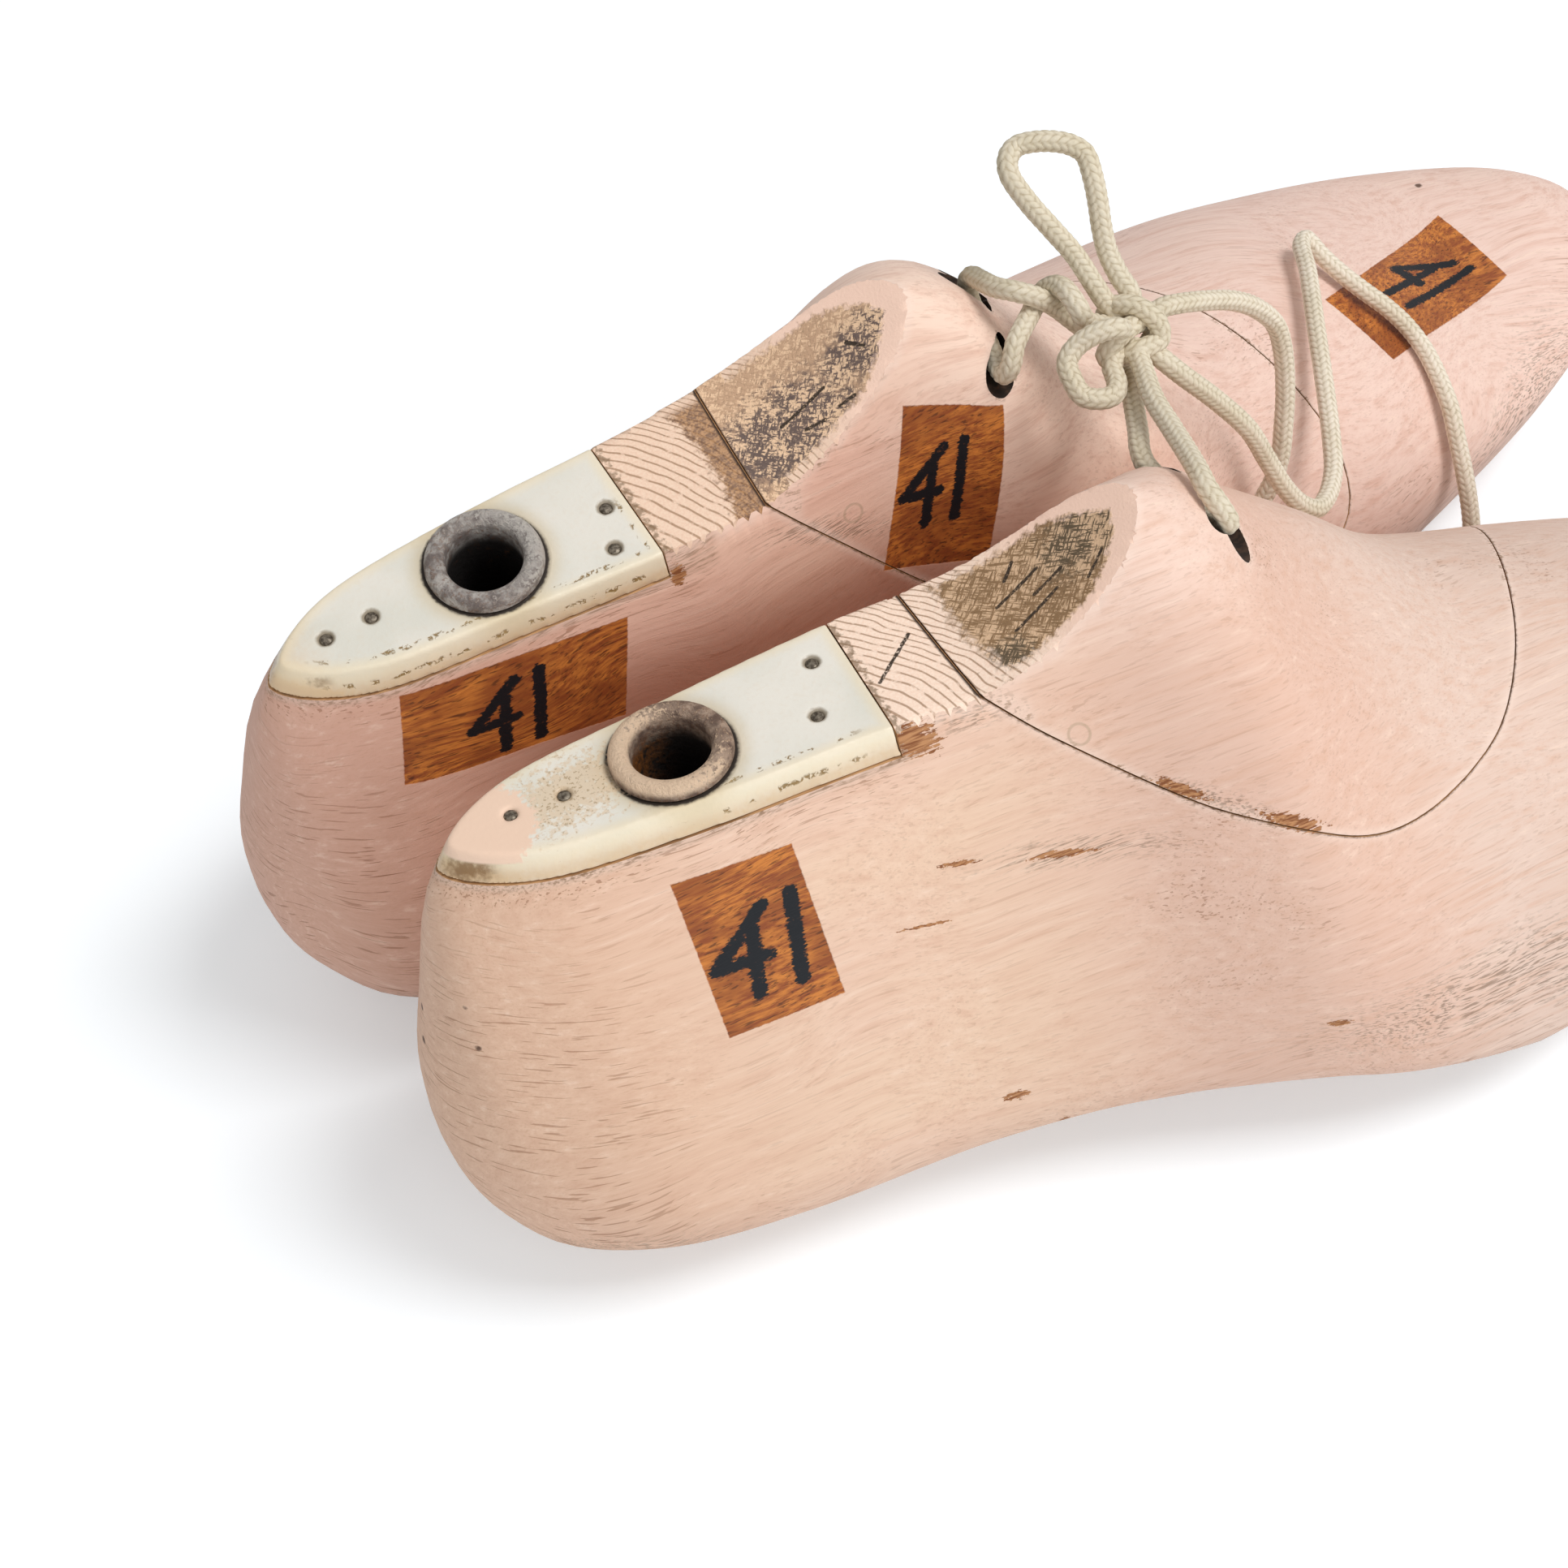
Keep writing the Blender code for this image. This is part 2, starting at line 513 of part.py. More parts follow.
def build_last(name, spec):
    inner = spec["inner"]
    frame = last_frame(name, spec)
    turn = frame.rotation_euler.to_matrix()
    lowest = min((turn @ p).z for x in ring_places() for p in section(x, inner))
    frame.location.z = -lowest

    def piece(part, shape, look):
        return add_object(name + "_" + part, shape, PARTS, frame, look)

    def tool(part, shape):
        return cutter(name + "_" + part, shape, frame)

    above = tool("waste", waste_above_top())
    block_cut = tool("block_cut", block_space(inner, 0.0))
    block_fit = tool("block_fit", block_space(inner, KERF))
    plate_cut = tool("plate_cut", plate_space(spec["plate_front"], 0.0))
    plate_fit = tool("plate_fit", plate_space(spec["plate_front"], GAP))

    socket_place = Matrix.Translation((SOCKET_X, 0.0, 0.0))
    sleeve = SOCKET_BORE / 2 + SOCKET_WALL + GAP
    foot = TOP_HEIGHT - SOCKET_LENGTH - GAP
    bore_profile = [(0.0, CUTTER_TOP), (sleeve, CUTTER_TOP), (sleeve, foot),
                    (SOCKET_BORE / 2, foot), (SOCKET_BORE / 2, TOP_HEIGHT - FLOOR_OF_BORE),
                    (0.0, TOP_HEIGHT - FLOOR_OF_BORE)]
    socket_bore = tool("socket_bore", moved(turned(bore_profile), socket_place))
    nail_holes = [tool(f"nail_hole_{number}", nail(place, inner, GAP))
                  for number, place in enumerate(spec["nails"], 1)]

    # The strap stands along the pull, so that it leaves its slot without touching it.
    pull = (turn.inverted() @ PULL).normalized()
    eye = Vector((STRAP_X, 0.0, cut_height(STRAP_X) + STRAP_ABOVE_CUT))
    across = Vector((-CUT_SKEW_REAR, inner, CUT_CLIMB)).normalized()
    forward = (Vector((1.0, 0.0, 0.0)) - pull * pull.x).normalized()
    sideways = pull.cross(forward)
    upright = Matrix.Translation(eye) @ Matrix((forward, sideways, pull)).transposed().to_4x4()
    strap_foot = -STRAP_REACH - STRAP_TINE
    catch = eye - pull * STRAP_REACH

    slot = tool("strap_slot", bar(STRAP_WIDTH + 2 * GAP, STRAP_THICKNESS + 2 * GAP,
                                  strap_foot - GAP, STRAP_EYE_MARGIN + STRAP_PIN / 2 + GAP, upright))
    pin_inner = eye + across * STRAP_PIN_INNER
    pin_outer = eye - across * STRAP_PIN_OUTER
    pin_hole = tool("strap_pin_hole", rod(STRAP_PIN / 2 + GAP, eye - across * PIN_HOLE_REACH,
                                          eye + across * PIN_HOLE_REACH))
    half_catch = sideways * (CATCH_PIN_LENGTH / 2)
    more = sideways * GAP
    catch_hole = tool("catch_pin_hole", rod(CATCH_PIN / 2 + GAP, catch - half_catch - more,
                                            catch + half_catch + more))
    fork = tool("strap_fork", bar(CATCH_PIN + 2 * GAP, STRAP_WIDTH, -STRAP_REACH - STRAP_WIDTH,
                                  -STRAP_REACH, upright))
    fork_round = tool("strap_fork_round", rod(CATCH_PIN / 2 + GAP, catch - sideways * STRAP_WIDTH,
                                              catch + sideways * STRAP_WIDTH))

    hole_outer, hole_inner = (Vector((x, inner * y, z * UPWARD))
                              for x, y, z in (HOLE_OUTER, HOLE_INNER))
    overrun = (hole_inner - hole_outer).normalized() * HOLE_OVERRUN
    cord_hole = tool("cord_hole", rod(CORD_HOLE / 2, hole_outer - overrun, hole_inner + overrun,
                                      ROUND_SIDES))

    body = piece("last_body", last_form(inner), PAINTED_WOOD)
    for tool_used in (above, block_cut, plate_cut, socket_bore, *nail_holes, slot, catch_hole):
        boolean(body, tool_used)

    block = piece("instep_block", last_form(inner), BLOCK_WOOD)
    boolean(block, block_fit, "INTERSECT")
    for tool_used in (above, cord_hole, slot, pin_hole):
        boolean(block, tool_used)

    plate = piece("heel_plate", last_form(inner), IVORY_PLASTIC)
    boolean(plate, plate_fit, "INTERSECT")
    for tool_used in (above, socket_bore, *nail_holes):
        boolean(plate, tool_used)

    piece("socket", moved(turned(socket_profile()), socket_place), RUSTED_STEEL)
    for number, place in enumerate(spec["nails"], 1):
        piece(f"plate_nail_{number}", nail(place, inner, 0.0), NAIL_STEEL)

    strap = piece("block_strap", bar(STRAP_WIDTH, STRAP_THICKNESS, strap_foot,
                                     STRAP_EYE_MARGIN + STRAP_PIN / 2, upright), STRAP_STEEL)
    for tool_used in (pin_hole, fork, fork_round):
        boolean(strap, tool_used)
    piece("strap_pin", rod(STRAP_PIN / 2, pin_outer, pin_inner), STRAP_STEEL)
    piece("catch_pin", rod(CATCH_PIN / 2, catch - half_catch, catch + half_catch), STRAP_STEEL)


def tube_points(route):
    """Points along a smooth curve, wherever it has turned or run far enough for a new one."""
    curve = smooth_curve(route, ROUTE_STEPS)
    picked = [curve[0]]
    heading = curve[1] - curve[0]
    for before, here in zip(curve, curve[1:-1]):
        turned_by = math.degrees((here - before).angle(heading))
        if turned_by > CORD_TURN or (here - picked[-1]).length > CORD_STEP:
            picked.append(here)
            heading = here - before
    return picked + [curve[-1]]


def build_stretch(name, route):
    """One stretch of the cord as a tube that stops just short of the knot."""
    centre = Vector(KNOT_CENTRE) * MM + CORD_LIFT
    points = [Vector(point) * MM + CORD_LIFT for point in route]
    reach = KNOT / 2 + GAP
    points.insert(0, centre + (points[0] - centre).normalized() * reach)
    if name not in ONE_END_TIED:
        points.append(centre + (points[-1] - centre).normalized() * reach)
    picked = tube_points(points)
    curve = bpy.data.curves.new(name, "CURVE")
    curve.dimensions = "3D"
    curve.bevel_depth = CORD / 2
    curve.bevel_resolution = 2
    curve.use_fill_caps = True
    curve.materials.append(material(COTTON))
    spline = curve.splines.new("POLY")
    spline.points.add(len(picked) - 1)
    for place, point in zip(spline.points, picked):
        place.co = (*point, 1.0)
    made = bpy.data.objects.new(name, curve)
    PARTS.objects.link(made)


def build_cord():
    knot = bmesh.new()
    bmesh.ops.create_uvsphere(knot, u_segments=KNOT_SIDES, v_segments=KNOT_SIDES // 2,
                              radius=KNOT / 2)
    made = add_object("cord_knot", knot, PARTS, look=COTTON)
    made.location = Vector(KNOT_CENTRE) * MM + CORD_LIFT
    for name, route in CORD_ROUTES.items():
        build_stretch(name, route)


clear_scene()
PARTS = new_collection("cobbler_last_pair")
CUTTERS = new_collection("cutters")
for last_name, last_spec in LASTS.items():
    build_last(last_name, last_spec)
build_cord()
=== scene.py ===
# %% [markdown]
# # A pair of wooden shoe lasts, dressed over its CAD frame
# A last is the wooden form that a shoe is built on. This pair is painted pink, has an ivory
# plastic plate and a steel socket over each heel, and is tied together by a cotton cord.
# The CAD model comes in first as a fixed frame. Everything below is made around it, in the same
# metres and the same place, so that each piece can ride on the CAD body it belongs to.

# %% Load the frame
import math

import bmesh
import bpy
from mathutils import Euler, Matrix, Vector, noise
from mathutils.bvhtree import BVHTree
from mathutils.kdtree import KDTree


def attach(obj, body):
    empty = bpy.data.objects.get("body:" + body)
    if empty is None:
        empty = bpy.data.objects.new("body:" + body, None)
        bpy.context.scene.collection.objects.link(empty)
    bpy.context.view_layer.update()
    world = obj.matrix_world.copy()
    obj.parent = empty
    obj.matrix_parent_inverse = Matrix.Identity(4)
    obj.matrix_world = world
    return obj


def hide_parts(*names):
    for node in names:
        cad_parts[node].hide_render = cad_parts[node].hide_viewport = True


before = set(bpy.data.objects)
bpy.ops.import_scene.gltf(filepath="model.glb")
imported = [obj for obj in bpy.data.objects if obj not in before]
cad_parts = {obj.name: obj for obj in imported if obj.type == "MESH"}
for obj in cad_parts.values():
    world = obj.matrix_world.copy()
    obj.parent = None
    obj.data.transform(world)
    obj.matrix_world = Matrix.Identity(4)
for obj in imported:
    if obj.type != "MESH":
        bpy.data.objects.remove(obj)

MM = 0.001
SHARP = math.radians(32)
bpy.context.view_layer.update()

# %% [markdown]
# ## Camera, floor and light
# The photograph was taken from close above the heels, so the camera is near and the far last
# looks smaller. The camera's place is given as an angle round the object, a height and a
# distance, because those are the numbers that a photographer would change.
# The white surroundings are one large white floor, which takes the shadow like any matt floor.

# %% Camera
PHOTO_SIDE = 1932
AIM = Vector((-0.06778, -0.00527, 0.0510))
DISTANCE = 0.40509
AZIMUTH, ELEVATION, ROLL = (math.radians(angle) for angle in (-24.42, 55.99, -5.44))
PIXELS_PER_METRE = 7910
AIM_PIXEL = (970.19, 959.99)

back = Vector((math.sin(AZIMUTH) * math.cos(ELEVATION), -math.cos(AZIMUTH) * math.cos(ELEVATION),
               math.sin(ELEVATION)))
level = (-back).cross(Vector((0, 0, 1))).normalized()
upward = level.cross(-back)
right = level * math.cos(ROLL) + upward * math.sin(ROLL)
up = upward * math.cos(ROLL) - level * math.sin(ROLL)



def placed(name, data):
    """A new object in the scene."""
    made = bpy.data.objects.new(name, data)
    bpy.context.scene.collection.objects.link(made)
    return made


camera = placed("camera", bpy.data.cameras.new("camera"))
bpy.context.scene.camera = camera
camera.matrix_world = Matrix.Translation(AIM + back * DISTANCE) @ Matrix(
    (right, up, back)).transposed().to_4x4()
camera.data.lens = PIXELS_PER_METRE * DISTANCE / PHOTO_SIDE * camera.data.sensor_width
camera.data.shift_x = (PHOTO_SIDE / 2 - AIM_PIXEL[0]) / PHOTO_SIDE
camera.data.shift_y = (AIM_PIXEL[1] - PHOTO_SIDE / 2) / PHOTO_SIDE
camera.data.clip_start = 0.01
bpy.context.scene.view_settings.view_transform = "Standard"
print("lens", round(camera.data.lens, 2), "mm")


# %% Lamps
def lamp(name, offset, size, power):
    """A square soft light at an offset from the object's middle, which it faces."""
    light = bpy.data.lights.new(name, "AREA")
    light.shape, light.size, light.energy = "SQUARE", size, power
    made = placed(name, light)
    made.location = AIM + Vector(offset)
    made.rotation_mode = "QUATERNION"
    made.rotation_quaternion = (AIM - made.location).to_track_quat("-Z", "Y")
    print(name, power, "W")


lamp("key", (1.10, -0.50, 2.26), 1, 36.5)
lamp("front_fill", (0.48, -1.65, 0.81), 1.35, 7.5)
lamp("side_fill", (-1.30, -1.50, 1.10), 1.2, 6)

world = bpy.data.worlds.new("studio")
world.use_nodes = True
sky = world.node_tree.nodes["Background"]
sky.inputs["Color"].default_value = (1, 1, 1, 1)
sky.inputs["Strength"].default_value = 0.42
bpy.context.scene.world = world

# %% Floor
FLOOR_HALF = 6            # metres
FLOOR_DROP = 0.0002         # how far the floor lies below the soles, so that the two don't flicker

floor_shape = bmesh.new()
bmesh.ops.create_grid(floor_shape, x_segments=1, y_segments=1, size=FLOOR_HALF)
floor_mesh = bpy.data.meshes.new("floor")
floor_shape.to_mesh(floor_mesh)
floor_shape.free()
floor = placed("floor", floor_mesh)
floor.location.z = -FLOOR_DROP

# %% [markdown]
# ## Materials come in two steps
# The saw and the drill leave their own surface on the wood, so a cutter hands its material on
# to the faces that it cuts. That needs the materials before the pieces. They are named here,
# and each gets its nodes further down, once there is something to look at.

# %% Name the materials
FINISHES = ("painted_left", "painted_right", "sawn_left", "sawn_right", "saw_cut", "drilled_hole",
            "ivory_left", "ivory_right", "steel_left", "steel_right", "nail_steel", "strap_steel",
            "cotton_cord", "white_floor")
looks = {name: bpy.data.materials.new("finish_" + name) for name in FINISHES}
for look in looks.values():
    look.use_nodes = True
floor_mesh.materials.append(looks["white_floor"])

# %% [markdown]
# ## The cotton cord
# A braided cord of 3 mm goes through a hole in each instep block and is tied between them in a
# slipped knot with one bow loop, one small loop and two loose ends. Each stretch is one tube
# along its route. The routes are the points of the CAD model.
# A braid is eight columns of slanting stitches, and every second column slants the other way.
# Here the tube is fine enough for the stitches to be real: each of its points is pushed out by
# the height of the stitch it lies on.

# %% Routes of the cord, in millimetres
CORD = 3                  # the thickness
KNOT_CENTRE = Vector((2, 10, 98.5))
CORD_ROUTES = {
    "cord_left_loop": (
        (0, 3, 98), (-2.5, -3.5, 99), (-4, -10.5, 100), (-5.5, -16.5, 101.5), (-7, -21.5, 103),
        (-7.7, -24.6, 103), (-7.2, -27.3, 101.4), (-6.4, -28.6, 98.9), (-6.2, -26.8, 96.9),
        (-6.8, -23, 96.2), (-7.5, -19, 95.8), (-8.4, -13, 95), (-8.3, -10.5, 94.9),
        (-7.5, -8, 94.9), (-5.5, -4.5, 94.5), (-2, 2.5, 94), (0.5, 7.5, 93)),
    "cord_right_loop": (
        (-2.5, 14, 97.5), (-4, 16, 98.8), (-6, 18, 101), (-9, 18.8, 104), (-11.5, 20.5, 105),
        (-13, 23.5, 104), (-13.1, 27.6, 102), (-13.1, 30.4, 100.5), (-13.3, 31.2, 98.3),
        (-13.9, 29.5, 96.8), (-14.6, 26, 96.3), (-16, 20, 95.6), (-16.8, 16.4, 95.4),
        (-17, 14.3, 95.9), (-16.4, 13.6, 98), (-14.8, 15, 100.5), (-12, 17, 101.2),
        (-9.2, 19.2, 101), (-7.2, 20.8, 101.3), (-6, 20.5, 102.6), (-5.2, 18.4, 104.6),
        (-5.4, 15.3, 105.6), (-5.2, 13, 104.6), (-4.2, 12.3, 102)),
    "cord_bow_loop": (
        (0.2, 14, 102.3), (-0.8, 16, 105), (-2, 19.5, 108.5), (-4, 22.5, 112), (-6, 26.5, 115.5),
        (-7, 30, 118.5), (-6, 32, 119.5), (-4, 33, 120), (-1.5, 32, 120.5), (1, 30.5, 120.5),
        (3, 29, 120), (4.3, 27.3, 119), (4, 24.5, 117), (3.5, 22, 114), (3, 20, 111),
        (3, 18, 107.5), (3.4, 15.4, 104.8), (4, 12.8, 102.6)),
    "cord_small_loop": (
        (-2.5, 7, 104.3), (-4, 7.2, 104.6), (-6, 7.8, 104), (-8.5, 8.3, 102.5), (-10.5, 7.5, 101),
        (-11, 5, 99.5), (-10.5, 3, 98), (-8.5, 1.5, 97.5), (-6, 1.5, 97), (-4.3, 3.3, 97),
        (-3.2, 6.3, 97.3)),
    "cord_short_end": (
        (9, 11.3, 98.5), (12, 11.5, 97.5), (18, 12, 94.5), (23.5, 12.5, 91), (28, 12.5, 87),
        (32, 12, 81.5), (33.5, 11, 75.5), (33.5, 9, 68), (32.5, 7, 62), (31.5, 5.5, 57),
        (30, 4.5, 53), (28, 4, 49.5), (26, 3, 46)),
    "cord_long_end": (
        (4.2, 4.5, 96.5), (7, 2.5, 93), (12.5, 0.8, 86), (18, -1.5, 78), (21.5, -3, 70),
        (24.3, -5, 63.5), (27.5, -6, 58.5), (30.8, -6, 55.5), (35, -3.5, 53.5), (39.5, 1, 52.5),
        (43, 6.5, 53), (48, 15.5, 54), (53.5, 26, 55.5), (60.5, 38.5, 55.5), (64.3, 45.5, 54),
        (66.5, 47, 53), (67.8, 43.8, 51), (69.5, 40, 49), (71.7, 36, 47), (74.5, 32, 44.5),
        (76.5, 28.5, 42), (77.5, 24, 39.5), (77.3, 19, 37), (76.5, 14, 34.5), (75.7, 9.5, 30),
        (75, 4.5, 24), (74.5, 0.5, 17), (73.5, -2.5, 10), (71, -3, 4.5), (66, -2.5, 1.8),
        (58, -1, 1.8), (48, -0.2, 1.8)),
}
LOOSE_ENDS = ("cord_short_end", "cord_long_end")


# %% A smooth curve through points
def smooth_curve(points, steps):
    """Centripetal Catmull-Rom curve through the points, with the given steps a stretch."""
    chain = [2 * points[0] - points[1], *points, 2 * points[-1] - points[-2]]
    curve = []
    for p0, p1, p2, p3 in zip(chain, chain[1:], chain[2:], chain[3:]):
        t1 = math.sqrt(max((p1 - p0).length, 1e-9))
        t2 = t1 + math.sqrt(max((p2 - p1).length, 1e-9))
        t3 = t2 + math.sqrt(max((p3 - p2).length, 1e-9))
        for step in range(steps):
            t = t1 + (t2 - t1) * step / steps
            a1, a2, a3 = p0.lerp(p1, t / t1), p1.lerp(p2, (t - t1) / (t2 - t1)), p2.lerp(
                p3, (t - t2) / (t3 - t2))
            b1, b2 = a1.lerp(a2, t / t2), a2.lerp(a3, (t - t1) / (t3 - t1))
            curve.append(b1.lerp(b2, (t - t1) / (t2 - t1)))
    return curve + [chain[-2].copy()]


def even_points(points, spacing):
    """Points along the smooth curve, about the spacing apart, and the curve's length."""
    fine = smooth_curve(points, 24)
    along = [0]
    for here, there in zip(fine, fine[1:]):
        along.append(along[-1] + (there - here).length)
    count = round(along[-1] / spacing)
    even, at = [], 0
    for number in range(count + 1):
        goal = along[-1] * number / count
        while at < len(fine) - 2 and along[at + 1] < goal:
            at += 1
        even.append(fine[at].lerp(fine[at + 1], (goal - along[at]) / (along[at + 1] - along[at])))
    return even, along[-1]


# %% A braided tube
COLUMNS = 8                 # columns of stitches around the cord
COLUMN_SIDES = 5            # tube sides in a column
STITCH = 1.25               # length of a stitch along the cord, in mm
SLANT = 0.75                # how far a stitch climbs across its column, in stitches
RING_SPACING = 0.17
STITCH_HEIGHT = 0.20        # how far a stitch rises over the hollows, in mm
HOLLOW = 0.06               # how far the hollows lie inside the cord's radius


def stitch_height(side, along):
    """How far the braid stands out at a side of the tube and a distance along it, from 0 to 1."""
    column, within = divmod(side, COLUMN_SIDES)
    across = (within + 0.5) / COLUMN_SIDES - 0.5
    lean = SLANT if column % 2 else -SLANT
    phase = along / STITCH + across * lean + 0.25 * (column % 2)
    ridge = abs(math.sin(math.pi * phase))
    return math.sqrt(ridge) * math.cos(across * math.pi * 0.8)


def shade(mesh):
    """Smooth, but for edges that turn more than SHARP."""
    mesh.shade_smooth()
    mesh.set_sharp_from_angle(angle=SHARP)


def braid(name, route):
    """A braided cord along a route in mm. Gives the object, its centre line and its length."""
    centre, length = even_points([Vector(point) for point in route], RING_SPACING)
    curve = bpy.data.curves.new(name, "CURVE")
    curve.dimensions = "3D"
    curve.bevel_depth = CORD / 2 * MM
    sides = COLUMNS * COLUMN_SIDES
    curve.bevel_resolution = sides // 2 - 2
    spline = curve.splines.new("POLY")
    spline.points.add(len(centre) - 1)
    for place, point in zip(spline.points, centre):
        place.co = (*(point * MM), 1)
    tube = bpy.data.objects.new(name + "_tube", curve)
    mesh = bpy.data.meshes.new_from_object(tube)
    bpy.data.objects.remove(tube)
    mesh.name = name
    heights = mesh.attributes.new("stitch", "FLOAT", "POINT")
    for number, vertex in enumerate(mesh.vertices):
        ring, side = divmod(number, sides)
        middle = centre[ring] * MM
        high = stitch_height(side, length * ring / (len(centre) - 1))
        grown = 1 + (high * STITCH_HEIGHT - HOLLOW) / (CORD / 2)
        vertex.co = middle + (vertex.co - middle) * grown
        heights.data[number].value = high
    closed = bmesh.new()
    closed.from_mesh(mesh)
    bmesh.ops.holes_fill(closed, edges=closed.edges, sides=0)
    bmesh.ops.recalc_face_normals(closed, faces=closed.faces)
    closed.to_mesh(mesh)
    closed.free()
    shade(mesh)
    mesh.materials.clear()
    mesh.materials.append(looks["cotton_cord"])
    print(name, len(mesh.vertices), "points", round(length, 1), "mm")
    return placed(name, mesh), [point * MM for point in centre], length * MM


# %% Make the stretches
INTO_KNOT = 2.6             # how near its middle the knot takes a stretch in, in mm
for name, route in CORD_ROUTES.items():
    points = [Vector(point) for point in route]
    points.insert(0, KNOT_CENTRE + (points[0] - KNOT_CENTRE).normalized() * INTO_KNOT)
    if name not in LOOSE_ENDS:
        points.append(KNOT_CENTRE + (points[-1] - KNOT_CENTRE).normalized() * INTO_KNOT)
    piece, centre, length = braid(name.replace("cord", "braid"), points)
    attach(piece, "left_block")
    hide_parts(name)

# %% [markdown]
# ## The knot
# The knot is a half bow. The same cord wraps once round the bundle, and a second turn goes
# through the first. Its turns are short braided tubes on routes that are given as the camera
# sees them: across, up and towards the camera, in millimetres from the knot's middle.

# %% Tie the knot
KNOT_TURNS = (
    ((-3.4, 2.4, -1.2), (-2.7, 3.4, 0.6), (-1.2, 3.5, 2.3), (0.6, 3.2, 3.1), (2.6, 2, 3.1),
     (4.2, 0.4, 2.4), (4.5, -1.4, 1.6), (3, -2.5, 2), (0.9, -3.3, 2.2), (-0.4, -3.6, 0.6),
     (-0.8, -3, -1.6)),
    ((1.6, 1.2, 0.4), (0.4, 0.5, 2.4), (-1.2, -0.8, 3.2), (-2.9, -2.6, 2.7), (-3.5, -3.8, 1),
     (-2.4, -4.2, -0.6), (-0.8, -3, -1.4)),
    ((-3.6, 1.9, -2.6), (-0.8, 3.3, -3.2), (2.4, 2.4, -3), (4, 0, -1.4), (2.2, -2.4, -1.4),
     (-1.2, -2.6, -2.6)),
)
knot_pieces = []
for number, turn in enumerate(KNOT_TURNS, 1):
    route = [KNOT_CENTRE + right * u + up * v + back * w for u, v, w in turn]
    knot_pieces.append(braid(f"knot_turn_{number}", route)[0])
knot = knot_pieces[0]
joined = bmesh.new()
for turn in knot_pieces:
    joined.from_mesh(turn.data)
joined.to_mesh(knot.data)
joined.free()
for turn in knot_pieces[1:]:
    bpy.data.objects.remove(turn)
knot.name = knot.data.name = "tied_knot"
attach(knot, "left_block")
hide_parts("cord_knot")

# %% [markdown]
# ## The last's form
# A last is turned on a copying lathe, so its body is one smooth shape through cross-sections.
# The table gives the same sections as the CAD model. Each section is an egg-like ring: a
# rounded lower half, and an upper half that leans in to the ridge. The form starts as one face
# at the heel, which is pulled forward ring by ring and shaped to each section on the way. That
# keeps every ring's points in the same order, so the surface stays even.

# %% Sections of the last
# Distance from the heel, sole height, ridge height, inner and outer half width, offset of the
# ridge towards the inner side, height of the widest point, all in millimetres, then the
# roundness exponents of the lower and the upper half.
LAST_SECTIONS = (
    (0, 32.7, 32.7, 0, 0, 0, 32.7, 2, 2),
    (1.5, 21.1, 47.4, 8.3, 8.1, 0, 32, 2, 1.9),
    (5, 11.7, 62, 14.2, 13.6, 0, 30, 2, 1.7),
    (12, 3.1, 86.5, 20.6, 20.9, 0, 27.3, 2.1, 1.4),
    (26, 0, 102.5, 26.9, 27.1, 0, 24, 2.2, 1.3),
    (48, 0.3, 108.4, 29.4, 28, -0.4, 21.2, 2.5, 1.3),
    (80, 3.1, 111.4, 32.2, 29.4, -1.8, 21, 2.6, 1.3),
    (105, 6.8, 110.4, 37.8, 31, 0, 19.4, 2.6, 1.35),
    (120, 7.6, 107.5, 43, 31.8, 0.5, 16, 2.7, 1.6),
    (130, 7.5, 101.5, 46.6, 32.5, -1.5, 13, 2.7, 1.85),
    (142, 5.7, 89, 49.9, 33.2, -5, 10.4, 2.7, 1.85),
    (157, 3.7, 75.5, 51.7, 34.6, -6.5, 9.8, 2.8, 1.75),
    (174, 1.9, 61.8, 51.4, 36, -1, 12.3, 2.8, 1.9),
    (200, 0, 53.8, 46.5, 35.4, 6, 17.3, 2.9, 1.9),
    (225, 1.6, 41.3, 42.8, 30.1, 8, 20.4, 2.9, 2),
    (250, 6, 30, 37.2, 22.5, 11.5, 20, 2.8, 2.1),
    (270, 10.8, 28, 28.5, 13.5, 11.1, 19.2, 2.4, 2),
    (279, 13.4, 25.2, 23, 6.5, 10.4, 18.4, 2.2, 2),
    (285, 15.6, 21.6, 17.5, 0, 9.5, 17.9, 2, 2),
    (288, 17.5, 17.5, 8.5, -8.5, 8.5, 17.5, 2, 2),
)
QUARTER_STEPS = 20
RING_STEP = 2.4
END_RINGS = (0.3, 0.6, 1, 1.6, 2.5, 3.6, 5, 6.8, 8.5, 10.6, 13)


def rail(column):
    """A smooth function of the distance from the heel through one column of the sections."""
    curve = smooth_curve([Vector((row[0], row[column])) for row in LAST_SECTIONS], 16)

    def value(x):
        for low, high in zip(curve, curve[1:]):
            if low.x <= x <= high.x and high.x > low.x:
                return low.y + (high.y - low.y) * (x - low.x) / (high.x - low.x)
        return curve[-1].y
    return value


RAILS = [rail(column) for column in range(1, 9)]
LAST_LENGTH = LAST_SECTIONS[-1][0]


